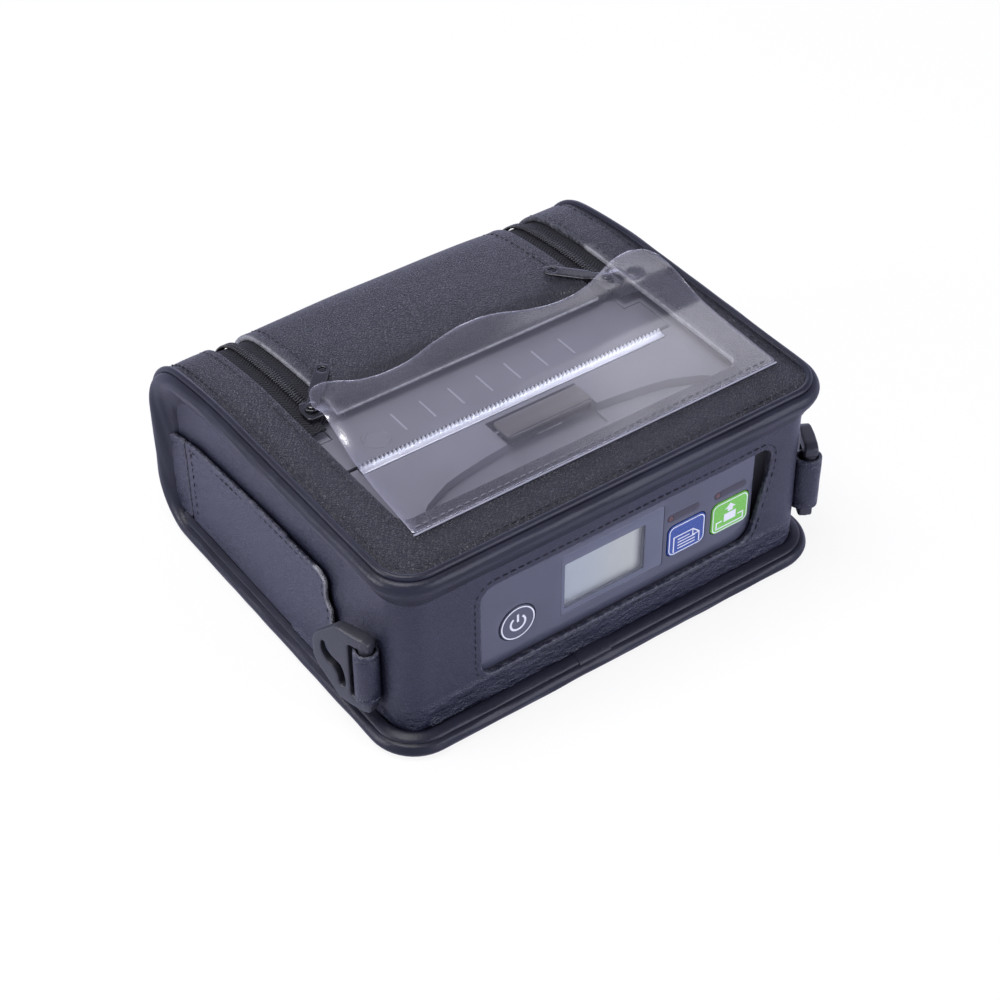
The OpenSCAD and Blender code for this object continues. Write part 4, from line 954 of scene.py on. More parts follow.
edge = sweep("rolled_edge", edge_rings(top_roll, base_roll, 0.05), "case", roll_leather)
welt = sweep("edge_welt", edge_rings(top_welt, base_welt, 0.03, 2), "case", roll_leather)
THICKER = 1.3
join_ring = [(-WELT_OUT - (o - WELT_OUT) * THICKER, -WELT_DROP - (q - WELT_DROP) * THICKER)
             for o, q in curve_through(base_welt, 2)][::-1]
join_rings = [[at(x, y, z) for y, z in join_ring] for x in np.arange(-16, -3.5, 1.1)]
sweep("welt_join", join_rings, "case", roll_leather, False)
for piece, node in ((edge, "edge_roll"), (welt, "seam_piping")):
    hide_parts(node)
steps = edge_steps()
spots = []
for here, after in zip(steps, steps[1:]):
    p, q = (corner + (out * 3.5 - up * 5.25) * MM for corner, out, up, _ in (here, after))
    if here[3] > 0.9 and 1.2 * MM < (q - p).length < 4 * MM:
        spots.append(((p + q) / 2, (q - p).normalized(), (here[1] - here[2]).normalized()))
repeat("base_seam_stitches", spots, stitch, "case", black_thread)
print("edge roll:", len(edge.data.polygons), "faces;", len(spots), "stitches in the base seam")

# %% [markdown]
# ## Clear cover
#
# A sheet of soft film is sewn down along its front edge only and lies over the
# slot. It rises over the rear flap, its left side bends down a little, two
# corners keep dents from handling, and its free edge waves. A function of the
# flat cut gives its height, so each of these is one term of a sum. The cut's
# outline is one loop of points, each with the radius that its corner gets.

# %% Clear cover
COVER_LIE = 0.9
cover_cut = rounded(
    [(-63.5, 14.1), (72.5, 14.1), (73.4, 44), (75.2, 76), (74, 81), (69, 83.8), (62, 83.0), (54, 79.5),
     (47, 76.5), (39, 74.6), (31, 74.8), (23, 76.5), (15, 80.5), (8, 82.6), (0, 82.8), (-12, 80.5),
     (-22, 77.5), (-32, 76.8), (-40, 78.5), (-45, 82), (-50, 84.6), (-55, 83.5), (-57.5, 78),
     (-57, 72), (-58.8, 58), (-61.5, 38)],
    [1, 1, 60, 5, 4, 5, 12, 30, 30, 20, 20, 30, 30, 20, 20, 30, 30, 30, 30, 14, 6, 4, 5, 20, 40, 60], 1.3)
left_line = np.array([(14, -63.5), (38, -61.5), (58, -58.8), (72, -57), (86, -57)])
dents = [(-57, 72, 2.2, 0.8), (-52.6, 72, 2.0, -0.6), (57, 75, 2.2, 0.9), (62, 72.5, 2.4, -0.7)]


def from_left(x, y):
    """How far a point of the film is from its left edge."""
    return x - float(np.interp(y, *left_line.T))


def cover_height(x, y):
    z = TOP + COVER_LIE + 3.2 * eased(ramp(y, 50, 22))
    free = ramp(y, 20, 30)
    z += free * (0.25 + wobble(x, y, 30, 0.45))
    z -= free * 1.0 * max(0, 1 - from_left(x, y) / 5) ** 2
    return z + sum(h * math.exp(-((x - u) ** 2 + (y - v) ** 2) / r ** 2) for u, v, r, h in dents)


def cover_painted_reflection(x, y, d):
    """Painted reflection: bright at the cut edge and where the left side bends down."""
    edge = 0.35 * math.exp(-d / 0.25)
    wide = 2.5 + 3.5 * ramp(y, 14, 55)
    band = 0.45 * max(0, 1 - from_left(x, y) / wide) ** 0.8 * (y < 76)
    return min(edge + band, 1)


cover = sheet("clear_cover", [cover_cut], lambda x, y, h: at(x, y, cover_height(x, y) + h), 0.3, "cover",
              film, step=1.5, rim=0.1, fold=cover_painted_reflection)
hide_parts("vinyl_cover")
HEM_Y, HEM_Z = 13.6, 71.75


def hem_ring(x):
    """One cross-section of the hem, which is a little uneven."""
    high = [0.3 + 0.05 * noise.noise(Vector((x, a, 0))) for a in clock]
    return [at(x, HEM_Y + 0.36 * math.cos(a), HEM_Z + h * math.sin(a)) for a, h in zip(clock, high)]


# The hem is pale opaque plastic: a painted highlight along the film's sewn front edge.
hem_highlight = plastic("hem_highlight", (0.26, 0.26, 0.32), 0.25)
hem_edge = sweep("cover_hem", [hem_ring(x) for x in np.arange(-63.7, 72.6, 2)], "case", hem_highlight, False)
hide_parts("vinyl_hem")
hem_thread = thread("hem_thread", (0.10, 0.10, 0.12))
hem_row = [(x, HEM_Y + 2.4) for x in np.arange(-62, 71.5, 2)]
hem_spots = seam(hem_row, lambda x, y, h: at(x, y, TOP + 0.95 + h), 2.9)
repeat("cover_stitches", hem_spots, stitch, "cover", hem_thread)
print("cover:", len(cover.data.polygons), "faces")

# %% [markdown]
# ## Rear flap
#
# The flap that opens for a new roll is one more leather cut on the same line
# as the top panel. Its edge is turned under and sewn, so it stands up a
# little, and it bulges slightly between its zips. At the front it is skived
# thin and bends down to the printer's lid.

# %% Rear flap
FLAP_HALF, FLAP_FRONT, FLAP_SEAM = 50.5, 75.0, 4.6
flap_end = along_rear(15.3)
flap_cut = rear_cut(FLAP_HALF, FLAP_FRONT, flap_end, [1.0, 1.0, 1.6, 1.6])


def flap_dip(x, s):
    """How far the front of the flap bends down to the lid."""
    reach = 4.5 + 7.5 * (1 - ramp(abs(x), 40, 7))
    return 3.2 * eased(1 - ramp(s, FLAP_FRONT, reach))


def flap_lift(x, s, d):
    bulge = 0.7 * (1 - (x / FLAP_HALF) ** 2) * min(1, d / 12)
    pucker = 0.08 * noise.noise(Vector((x / 2, s / 2.2, 8))) * bell(d - FLAP_SEAM, 2.5)
    soft = bulge + wobble(x, s, 24, 0.3) * min(1, d / 8) + pucker
    return soft - flap_dip(x, s) - 0.35 * bell(d - FLAP_SEAM, 0.9)


def over_thin(x, s, height):
    """As over, but the flap is skived to half its thickness at the front."""
    return over(x, s, height * (1 - 0.45 * (1 - ramp(s, FLAP_FRONT, 5))))


def flap_edge_highlight(x, s, d):
    """Painted highlight on the front edge, and less on the left one, the edges that face the lamps."""
    return bell(d, 0.5) * (0.9 if s < FLAP_FRONT + 1 else 0.6 * (x < 0))


rear_flap = sheet("rear_flap_panel", [flap_cut], over_thin, LEATHER, "flap", top_leather, rim=0.7,
                  lift=flap_lift, fold=flap_edge_highlight)
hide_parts("rear_flap")
seam_x, seam_s = FLAP_HALF - FLAP_SEAM, FLAP_FRONT + FLAP_SEAM
spots = []
for x in (-seam_x, seam_x):
    spots += seam([(x, s) for s in np.arange(seam_s, flap_end - 2, 2)], over, 3.0, False, -0.1)
spots += seam([(x, seam_s) for x in np.arange(-45, 45.5, 2)], over, 3.0, False, -0.05)
repeat("rear_flap_stitches", spots, stitch, "flap", black_thread)
print("rear flap:", round(flap_end - FLAP_FRONT), "mm long")

# %% [markdown]
# ## Zips
#
# A coil zip is a spiral of plastic wire sewn on the edge of a woven tape. Each
# side gets a tape and a row of small loops, set half a pitch apart so that
# they mesh. The case side and the flap side are separate pieces, because they
# part when the flap opens. Either side's tape runs further than its coil, up
# under the clear cover.

# %% Zips
ZIP_X, ZIP_GAP, PITCH, TAPE_WIDE = 56.6, 0.05, 1.15, 0.0185
stop_s, tape_start, tape_end = along_rear(18.0), 71, along_rear(15.3)
tooth = capsule(2.0, 0.72, 1.0)


def tapes(name, body, x0, x1):
    """Both tapes of one kind in one mesh: the left one is made as a mirror."""
    start = tape_start if body == "case" else FLAP_FRONT + 0.5
    cut = rounded([(x0, start), (x1, start), (x1, tape_end), (x0, tape_end)], 0.4, 2.5)

    def tape_lift(u, v, d):
        follow = 0.6 * flap_dip(u, v) if body == "flap" else 0
        return 0.3 * bell(abs(u - ZIP_X) - 2.6, 0.9) - follow

    sides = [sheet("tape", [cut], lambda u, v, h, k=k: over(k * u, v, h - LEATHER), 0.65, body, tape_weave,
                   step=3, rim=0.12, lift=tape_lift) for k in (1, -1)]
    return merge(name, sides, body)


def merge(name, pieces, body):
    """Joins finished pieces into one mesh on the body."""
    whole = bmesh.new()
    for piece in pieces:
        whole.from_mesh(piece.data)
    mesh = bpy.data.meshes.new(name)
    whole.to_mesh(mesh)
    whole.free()
    mesh.materials.append(pieces[0].data.materials[0])
    for piece in pieces:
        bpy.data.objects.remove(piece)
    ob = bpy.data.objects.new(name, mesh)
    bpy.context.scene.collection.objects.link(ob)
    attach(ob, body)
    return ob


def coil(name, body, way):
    """Both coils of one body; way is 1 for the outer half and -1 for the inner."""
    spots = []
    start = FLAP_FRONT + 6 + (0 if way > 0 else PITCH / 2)
    for side in (-1, 1):
        x = side * (ZIP_X + way * (ZIP_GAP + 0.62))
        for s in np.arange(start, stop_s, PITCH):
            here = over(x, s, -1.0)
            spots.append((here, Vector((side, 0, 0)), (over(x, s, 0) - here).normalized()))
    return repeat(name, spots, tooth, body, coil_plastic, 0.02)


for body, x0, x1, front in (("case", ZIP_X + ZIP_GAP, 66, tape_start),
                            ("flap", 47.5, ZIP_X - ZIP_GAP, FLAP_FRONT)):
    piece = tapes("zip_tapes_" + body, body, x0, x1)
    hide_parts("zip_tape_" + body)
for body, way in (("case", 1), ("flap", -1)):
    piece = coil("zip_coils_" + body, body, way)
    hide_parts("zip_coil_" + body)
    print("zip_coils_" + body, len(piece.data.polygons), "faces")

# %% [markdown]
# ## Zip sliders and pull tabs
#
# The slider is a flat arrow with a post, and its tab swings round the post. Both
# are plates with rounded rims, so the sheet tool makes them too, laid level
# and turned to the tab's heading.

# %% Zip sliders and pull tabs
SLIDER_Y, SLIDER_Z, HEADING, EYE_REACH = 79.25, 70.55, math.radians(42), 18.2


def plate(name, loops, middle, turn, top, thick, body, material, rim=0.25):
    """A level plate from loops around its own origin, turned about Z."""
    c, s = math.cos(turn), math.sin(turn)

    def place(u, v, h):
        return at(middle[0] + u * c - v * s, middle[1] + u * s + v * c, top + h)

    return sheet(name, loops, place, thick, body, material, step=1.2, rim=rim)


def post(name, middle, profile, body, material, sides=24):
    """A turned part about a vertical axis, from (radius, height) pairs."""
    rings = [[at(middle[0] + r * math.cos(a), middle[1] + r * math.sin(a), z)
              for a in np.arange(sides) * 2 * math.pi / sides] for r, z in profile]
    return sweep(name, rings, body, material, False, 35)


def circle(x, y, r, count=20):
    a = np.arange(count) * 2 * math.pi / count
    return np.stack([x + r * np.cos(a), y + r * np.sin(a)], 1)


slider_cut = rounded([(-2.2, 4.25), (-3.5, 1.4), (-3.5, -4.25), (3.5, -4.25), (3.5, 1.4), (2.2, 4.25)],
                     [0.8, 1.5, 1.2, 1.2, 1.5, 0.8], 0.6)
pull_cut = rounded([(-2.25, -2.3), (2.25, -2.3), (2.25, 1.8), (1.75, 4.5), (2.5, 7.5), (2.5, 18.6), (1.6, 21),
                    (-1.6, 21), (-2.5, 18.6), (-2.5, 7.5), (-1.75, 4.5), (-2.25, 1.8)],
                   [2, 2, 2, 3, 2, 1.6, 1.6, 1.6, 1.6, 2, 3, 2], 0.7)
pull_loops = [pull_cut, circle(0, 0, 1.15), circle(0, EYE_REACH, 1.4)]
post_profile = [(r, SLIDER_Z + z) for r, z in (
    (1.45, 0.9), (1.0, 1.3), (0.98, 2.2), (1.5, 2.35), (1.6, 2.55), (1.3, 2.75), (0.5, 2.8))]
for side, word in ((-1, "left"), (1, "right")):
    middle, body = (side * ZIP_X, SLIDER_Y), "slider_" + word
    slider = merge("zip_slider_" + word + "_body", [
        plate("top", [slider_cut], middle, 0, SLIDER_Z + 1.0, 1.0, body, enamel, 0.35),
        post("post", middle, post_profile, body, enamel)], body)
    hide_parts("zip_slider_" + word)
    tab = plate("zip_pull_" + word + "_tab", pull_loops, middle, side * HEADING, SLIDER_Z + 2.05, 0.9,
                "pull_" + word, enamel, 0.3)
    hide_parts("zip_pull_" + word)
print("sliders and tabs ready")

# %% [markdown]
# ## Side flap
#
# A second leather cut on the left wall covers the sockets. It is sewn down
# behind its own seam, so the flap and the sewn strip are two pieces that meet
# there. Its front end stands off the wall a little more than its seam, and is
# cut with a step, a finger's hold.

# %% Side flap
SIDE_X, SIDE_T, SEAM_Y, SIDE_SEAM = -78.3, 1.6, 122.5, 3.0


def on_side(y, z, height):
    """A point over the left wall."""
    return at(SIDE_X - SIDE_T - height, y, z)


def side_lift(y, z, d):
    soft = wobble(y, z, 20, 0.2) + (0.25 + 0.5 * (y < 60)) * bell(d, 1.4)
    return soft - 0.3 * bell(d - SIDE_SEAM, 0.7) - 0.25 * bell(y - SEAM_Y, 1.2)


flap_side_cut = rounded([(35, 7.5), (35, 33.5), (37.6, 36.4), (37.2, 44.2), (40.8, 46.6), (75, 45.4),
                         (115, 42.4), (SEAM_Y - 0.3, 40.8), (SEAM_Y - 0.3, 7.5)],
                        [3, 2.5, 3, 2.5, 3, 60, 20, 1.1, 1.1], 1.2)
anchor_cut = rounded([(SEAM_Y + 0.3, 7.5), (SEAM_Y + 0.3, 40.8), (131, 38.4), (135.5, 34.5), (137, 29),
                      (137, 20), (134, 12.5), (129.5, 7.5)], [1.1, 1.1, 8, 6, 6, 12, 8, 3], 1.6)
# Its front cut edges get a painted highlight.
side_flap = sheet("side_flap_panel", [flap_side_cut], on_side, SIDE_T, "port_flap", flap_leather, rim=0.7,
                  lift=side_lift, fold=lambda y, z, d: 0.75 * bell(d, 0.45) * (y < 44))
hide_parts("side_flap")
anchor = sheet("side_flap_strip", [anchor_cut], on_side, SIDE_T, "case", flap_leather, step=2, rim=0.6,
               lift=side_lift)
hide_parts("side_flap_anchor")


def inner_row(cut, d, keep):
    """The part of a row of stitches d inside a cut for which keep holds."""
    row = inset(cut if loop_area(cut) > 0 else cut[::-1], d)
    kept = [bool(keep(u, v)) for u, v in row]
    start = next(i for i in range(len(row)) if kept[i] and not kept[i - 1])
    turned = np.roll(row, -start, 0)
    return turned[:sum(kept)]


side_row = inner_row(flap_side_cut, SIDE_SEAM, lambda y, z: y < SEAM_Y - 3)
side_spots = seam(side_row, on_side, 3.0, False, -0.12)
repeat("side_flap_stitches", side_spots, stitch, "port_flap", black_thread)
strip_row = inner_row(anchor_cut, SIDE_SEAM, lambda y, z: y > SEAM_Y + 3.5)
strip_spots = seam(strip_row, on_side, 3.0, False, -0.12)
strip_spots += seam([(SEAM_Y + 1.6, z) for z in np.arange(9.5, 39, 2)], on_side, 2.9, False, -0.12)
repeat("side_strip_stitches", strip_spots, stitch, "case", black_thread)
print("side flap:", len(side_spots), "+", len(strip_spots), "stitches")

# %% [markdown]
# ## Strap loops and rings
#
# A strip of leather is folded round the upright pin of each strap ring. The
# loop is a wall swept round the pin, with a pressed line near each end and a
# pale cut edge. The ring is a moulded plate that gets thinner to its tip, with
# the curved slot that holds a strap. The left loop is sewn to the side wall
# and the right one round the front corner, so it is turned and stands off.

# %% Strap loops and rings
LOOP_X, LOOP_Y, LOOP_LOW, LOOP_TOP, LOOP_R, LOOP_ROUND = 81.6, 14.0, 16.0, 36.0, 3.38, 48
RIGHT_TURN, RIGHT_STAND = math.radians(25), 1.4
loop_wall = [(0.25, 0), (0.6, 0.35), (0.64, 1.7), (0.42, 2.0), (0.64, 2.3), (0.66, 6), (0.6, 10), (0.66, 14),
             (0.64, 17.7), (0.42, 18.0), (0.64, 18.3), (0.6, 19.65), (0.25, 20.0), (-0.35, 20.0),
             (-0.6, 19.6), (-0.6, 0.4), (-0.35, 0)]


def by_pin(side, out, rear, z):
    """A point by a fitting's pin; the right fitting is sewn round the front corner."""
    if side < 0:
        return at(-LOOP_X - out, LOOP_Y + rear, z)
    c, s = math.cos(RIGHT_TURN), math.sin(RIGHT_TURN)
    reach = LOOP_X - HALF + CORNER + RIGHT_STAND + out
    return at(HALF - CORNER + reach * c + rear * s, CORNER - reach * s + rear * c, z)


def strap_loop(side, word):
    rings = []
    neck = LOOP_X - HALF + (RIGHT_STAND if side > 0 else 0)
    for a in np.arange(LOOP_ROUND) * 2 * math.pi / LOOP_ROUND:
        ring = []
        for d, z in loop_wall:
            r = LOOP_R + d + 0.06 * noise.noise(Vector((math.cos(a) * 2, math.sin(a) * 2, z / 5)))
            out = r * math.cos(a) * (neck / 3.6 if math.cos(a) < 0 else 1)
            nearest = 0.05 - neck + (0.5 if d < 0 else 0)
            ring.append(by_pin(side, max(out, nearest), r * math.sin(a), LOOP_LOW + z))
        rings.append(ring)
    loop = sweep("strap_loop_" + word + "_leather", rings, "case", wall_leather)
    from_edge = [min(v.co.z / MM - LOOP_LOW, LOOP_TOP - v.co.z / MM) * 1.2 for v in loop.data.vertices]
    loop.data.attributes.new("rim", "FLOAT", "POINT").data.foreach_set("value", from_edge)
    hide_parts("strap_loop_" + word)


RING_Z, RING_T = 26.0, 4.4
ring_cut = rounded([(-2.4, -14), (0, -15), (10.1, -15), (19, -6.45), (20.6, -3), (20.6, 3), (19, 6.45),
                    (10.1, 15), (0, 15), (-2.4, 14), (-2.4, 10.6), (5.3, 10.6), (5.3, -10.6), (-2.4, -10.6)],
                   [1.4, 3, 4, 3, 2.5, 2.5, 3, 4, 3, 1.4, 1, 1, 1, 1], 0.9)
ring_slot = curve_through([(16.6, 4.8), (14.4, 4.4), (13.2, 1.6), (11.4, 0.4), (9, -0.6), (7.6, -4),
                           (7.4, -8.6), (9.8, -9.2), (10.6, -5.8), (12.2, -3.6), (15, -2.4), (17, 0.6)], 3)
pin_profile = [(r, RING_Z + z) for r, z in (
    (1.2, -14.5), (2.2, -14), (2.35, -13), (2.35, 13), (2.2, 14), (1.2, 14.5))]


def strap_ring(side, word, turn):
    c, s = math.cos(turn), math.sin(turn)
    body = "ring_" + word

    def place(reach, z, height):
        taper = 1 - 0.62 * ramp(reach, 5, 15.6)
        across = (height + RING_T / 2) * taper * -side
        return by_pin(side, side * (across * c - reach * s), across * s + reach * c, RING_Z + z)

    ring = sheet("ring_frame", [ring_cut, ring_slot], place, RING_T, body, ring_plastic,
                 step=1.3, rim=0.65, sharp=50)
    middle = by_pin(side, 0, 0, 0)
    pin = post("ring_pin", (middle.x / MM, (middle.y - front_y) / MM), pin_profile, body, ring_plastic)
    ring = merge("strap_ring_" + word + "_moulding", [ring, pin], body)
    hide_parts("strap_ring_" + word)


for side, word, turn in ((-1, "left", math.radians(17)), (1, "right", math.radians(-5))):
    strap_loop(side, word)
    strap_ring(side, word, turn)
print("strap loops and rings ready")

# %% [markdown]
# ## Printer shell and paper lid
#
# The printer is moulded in grey plastic. Its CAD solids have knife-sharp
# edges, which no mould makes. So a copy of each gets its doubled points
# merged, its flat faces joined and its edges bevelled by a third of a
# millimetre. The lid's fine ribs and round boss are laid on it; the ribs are
# lighter than the shell, a painted highlight. A dark strip behind the teeth is
# painted shadow in the slot where the paper comes out.

# %% Printer shell and paper lid
WELD = 2e-6


def body_of(node):
    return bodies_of(frame["nodes"][node])[0]


def softened(node, width, name, material):
    """A bevelled copy of a CAD piece, in place of it."""
    source = frame["nodes"][node]
    bm = bmesh.new()
    bm.from_mesh(source.data)
    bm.transform(source.matrix_world)
    bmesh.ops.remove_doubles(bm, verts=bm.verts, dist=WELD)
    bmesh.ops.dissolve_limit(bm, angle_limit=math.radians(2), verts=bm.verts, edges=bm.edges)
    for face in bm.faces:
        face.smooth = True
    mesh = bpy.data.meshes.new(name)
    bm.to_mesh(mesh)
    bm.free()
    copy = bpy.data.objects.new(name, mesh)
    bpy.context.scene.collection.objects.link(copy)
    bevel = copy.modifiers.new("bevel", "BEVEL")
    bevel.width, bevel.segments, bevel.angle_limit = width * MM, 2, math.radians(32)
    bevel.limit_method, bevel.harden_normals = "ANGLE", True
    bpy.context.view_layer.update()
    real = bpy.data.meshes.new_from_object(copy.evaluated_get(bpy.context.evaluated_depsgraph_get()))
    copy.modifiers.clear()
    copy.data = real
    real.materials.clear()
    real.materials.append(material)
    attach(copy, body_of(node))
    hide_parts(node)
    print(name, len(real.polygons), "faces")


softened("upper_shell", 0.3, "printer_shell", shell_plastic)
softened("paper_lid", 0.3, "printer_lid", shell_plastic)
LID_TOP, LID_BODY = 66.0, body_of("paper_lid")
rib_cut = rounded([(-0.35, -4.6), (0.35, -4.6), (0.35, 4.6), (-0.35, 4.6)], 0.3, 0.8)
ribs = [plate("rib", [rib_cut], (x, 64.2), 0, LID_TOP + 0.22, 0.5, LID_BODY, rib_highlight_plastic, 0.15)
        for x in np.arange(-35.2, 30, 10.7)]
boss_profile = [(r, LID_TOP + z) for r, z in (
    (4.6, -0.3), (4.6, 0.1), (4.4, 0.32), (3.7, 0.36), (3.5, 0.12), (0.6, 0.1))]
post("lid_boss", (-45, 61.5), boss_profile, LID_BODY, shell_plastic, 36)
merge("lid_ribs", ribs, LID_BODY)
# A dark strip: painted shadow in the slot behind the teeth.
sheet("lid_groove", [rounded([(-43, 57.2), (52, 55.6), (52, 56.6), (-43, 58.3)], 0.3, 2)],
      lambda x, y, h: at(x, y, LID_TOP - 0.05 + h), 0.12, LID_BODY, dark_plastic, step=3, rim=0.05)

# %% [markdown]
# ## Tear bar and lid lever
#
# The tear bar is a steel strip with a saw edge: one row of 76 pressed teeth,
# made by the same repeat as the stitches. The lever is a rounded plate on a
# web with two lugs, which sinks into its pocket when it is pressed. Its front
# is in the pocket's shade, which a dark strip under the plate paints.

# %% Tear bar and lid lever
def across(name, outline, x0, x1, body, material, rim=0.25):
    """A slab from x0 to x1 with an outline of (y, z) points."""
    return sheet(name, [outline], lambda y, z, h: at(x1 + h, y, z), x1 - x0, body, material, step=2, rim=rim)


TEETH, BAR = 76, 115.0
pitch = BAR / TEETH
tooth_at = [(-0.5, -0.1), (0.5, -0.1), (0.06, 1.5), (-0.06, 1.5)]
tooth_verts = [Vector((x * pitch, y, z)) * MM for y in (-0.35, 0.35) for x, z in tooth_at]
tooth_faces = [(0, 1, 2, 3), (7, 6, 5, 4), (0, 4, 5, 1), (1, 5, 6, 2), (2, 6, 7, 3), (3, 7, 4, 0)]
tear_steel = brushed("tear_steel", (0.93, 0.94, 0.96), 0.3)
BAR_TOP = 66.5
bar_cut = rounded([(49.8, 65.1), (52.5, 65.1), (52.5, BAR_TOP), (49.8, BAR_TOP)], 0.3, 0.5)
strip = across("strip", bar_cut, -BAR / 2, BAR / 2, body_of("tear_bar"), tear_steel, 0.2)
spots = [(at(-BAR / 2 + (i + 0.5) * pitch, 52.15, BAR_TOP), Vector((1, 0, 0)), Vector((0, 0, 1)))
         for i in range(TEETH)]
teeth = repeat("teeth", spots, (tooth_verts, tooth_faces), body_of("tear_bar"), tear_steel, 0)
for face in teeth.data.polygons:
    face.use_smooth = False
saw = merge("tear_bar_strip", [strip, teeth], body_of("tear_bar"))
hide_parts("tear_bar")

LEVER = body_of("release_lever")
PIVOT_Y, PIVOT_Z, LUG_R, PLATE_LOW = 43.6, 63.6, 1.8, 66.6
top_cut = rounded([(-13.5, 36.5), (18.5, 36.5), (18.5, 45.4), (-13.5, 45.4)], [1.6, 1.6, 1.2, 1.2], 0.8)
web_cut = rounded([(37.3, 63.45), (38.9, 63.45), (38.9, PLATE_LOW), (37.3, PLATE_LOW)], 0.3, 0.6)
shade_strip_cut = rounded([(36.75, 64.6), (37.25, 64.6), (37.25, 68.0), (36.75, 68.0)], 0.1, 0.5)
lever_parts = [sheet("top", [top_cut], lambda x, y, h: at(x, y, 67.95 + h), 1.7, LEVER, lever_plastic,
                     step=1.5, rim=0.6, lift=lambda x, y, d: 0.25 * bell(y - 38.6, 1.4) - 0.05),
               across("web", web_cut, -12, 17, LEVER, lever_plastic)]
lug_cut = [(PIVOT_Y - LUG_R, PLATE_LOW), (PIVOT_Y - LUG_R, PIVOT_Z),
           *circle(PIVOT_Y, PIVOT_Z, LUG_R, 24)[13:], (PIVOT_Y + LUG_R, PLATE_LOW)]
lug_loops = [rounded(lug_cut, 0, 0.8), circle(PIVOT_Y, PIVOT_Z, 1.05)]
for x0 in (-11.5, 13.5):
    lever_parts.append(sheet("lug", lug_loops, lambda y, z, h, x=x0 + 3: at(x + h, y, z), 3, LEVER,
                             lever_plastic, step=1, rim=0.15))
# Painted shade: a dark strip under the lever's plate.
across("lever_skirt", shade_strip_cut, -12.6, 17.6, LEVER, dark_plastic, 0.08)
lever = merge("lid_lever", lever_parts, LEVER)
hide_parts("release_lever")
print("tear bar:", len(saw.data.polygons), "faces; lever:", len(lever.data.polygons))

# %% [markdown]
# ## Control panel and display
#
# The panel is a moulded plate under a printed film, with holes for the keys and
# the display. The display is a grey reflective one behind a clear pane. Its
# colour is painted lighter to the right and darker along its right edge and its
# bottom, where its frame shades it. It shows nothing, as when the printer is off.

# %% Control panel and display
FRONT, PANEL_BODY = 2.5, body_of("control_panel")


def on_front(x, z, height):
    return at(x, FRONT - height, z)


def block(x0, x1, z0, z1, r, step=1.0):
    return rounded([(x0, z0), (x1, z0), (x1, z1), (x0, z1)], r, step)


def faced(name, loops, top, thick, body, material, rim=0.2, step=3):
    """A plate that faces forward, its face top mm ahead of the panel's."""
    return sheet(name, loops, lambda x, z, h: on_front(x, z, top + h), thick, body, material,
                 step=step, rim=rim)


lens_cut, window_cut = block(-18.8, 20.5, 22.5, 47, 0.8), block(-17.4, 13.2, 24.9, 43.0, 0.5)
KEY_X, KEY_Z, POWER_R = 7.5, 6.2, 6.6
power_x, power_z = -35.2, 29.5
keys = {"print": (29.8, 30.4), "feed": (47.4, 30.2)}
lamps = ((23.2, 40.2), (42.0, 39.9))


def key_outline(x, z, grow, r, step=1.0):
    """The outline of a coloured key, grown all round."""
    return block(x - KEY_X - grow, x + KEY_X + grow, z - KEY_Z - grow, z + KEY_Z + grow, r, step)


key_holes = [key_outline(x, z, 0.25, 2.6) for x, z in keys.values()]
lamp_holes = [circle(x, z, 1.1, 16) for x, z in lamps]
power_hole = circle(power_x, power_z, POWER_R + 0.25, 48)
panel_cuts = [block(-52, 56.4, 16, 54, 1.5), lens_cut, power_hole, *key_holes, *lamp_holes]
panel = faced("printer_panel", panel_cuts, 0, 2.0, PANEL_BODY, panel_film)
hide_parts("control_panel")
frame_film = plastic("lens_frame", (0.105, 0.113, 0.160), 0.16, 2600, 0.01, 0.08)
pane_glass = Surface("display_pane", roughness=0.06, specular_ior_level=0.6)
dust = pane_glass.noise(900, 3)
pane_glass.set("Base Color", pane_glass.colour(dust, (0.55, 0.58, 0.66), (0.75, 0.77, 0.82)))
pane_glass.set("Alpha", 0.05 + dust * 0.05)
lens = faced("display_frame", [lens_cut, window_cut], -0.1, 1.5, PANEL_BODY, frame_film)
pane = faced("display_pane_piece", [window_cut], -0.2, 0.5, PANEL_BODY, pane_glass.material, 0.1)
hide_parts("lcd_lens")
glass = Surface("display_grey", roughness=0.35)
glass_x, _, glass_z = glass.parts(glass.place)
# Painted light and shade: lighter and warmer to the right, dark along the right edge and the bottom.
painted_light_to_right = glass_x.step(-16 * MM, 14 * MM)
near_edge = 1 - glass_x.step(9.5 * MM, 13.5 * MM)
low_edge = glass_z.step(24 * MM, 29 * MM)
shade = near_edge * (0.45 + low_edge * 0.55) * (0.97 + glass.noise(700, 2) * 0.06)
grey = glass.colour(painted_light_to_right, (0.36, 0.40, 0.43), (0.47, 0.48, 0.43))
glass.set("Base Color", glass.colour(shade, (0.10, 0.10, 0.12), grey))
glass.bump(glass.noise(1500, 2), 0.01)
display = faced("display_glass", [block(-17.3, 14, 24, 45, 0.4)], -1.6, 4.4, PANEL_BODY, glass.material)
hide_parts("lcd_module")
print("panel:", len(panel.data.polygons), "faces")

# %% [markdown]
# ## Keys, marks and lamps
#
# Each key is one moulding: a cap, a flange that keeps it behind the panel and
# a stem down to its switch. The marks are printed, so they are films four
# hundredths of a millimetre thick, drawn as outlines of strokes: a sheet, a
# sheet with an arrow, and the usual on and off mark.

# %% Keys, marks and lamps
def stroke(points, width):
    """The outline of a line of the given width with square ends."""
    p = np.array(points, float)
    d = np.diff(p, axis=0)
    n = np.stack([-d[:, 1], d[:, 0]], 1) / np.linalg.norm(d, axis=1)[:, None]
    turns = [(a + b) / (1 + a @ b) for a, b in zip(n, n[1:])]
    side = np.array([n[0], *turns, n[-1]]) * width / 2
    return np.concatenate([p - side, (p + side)[::-1]])


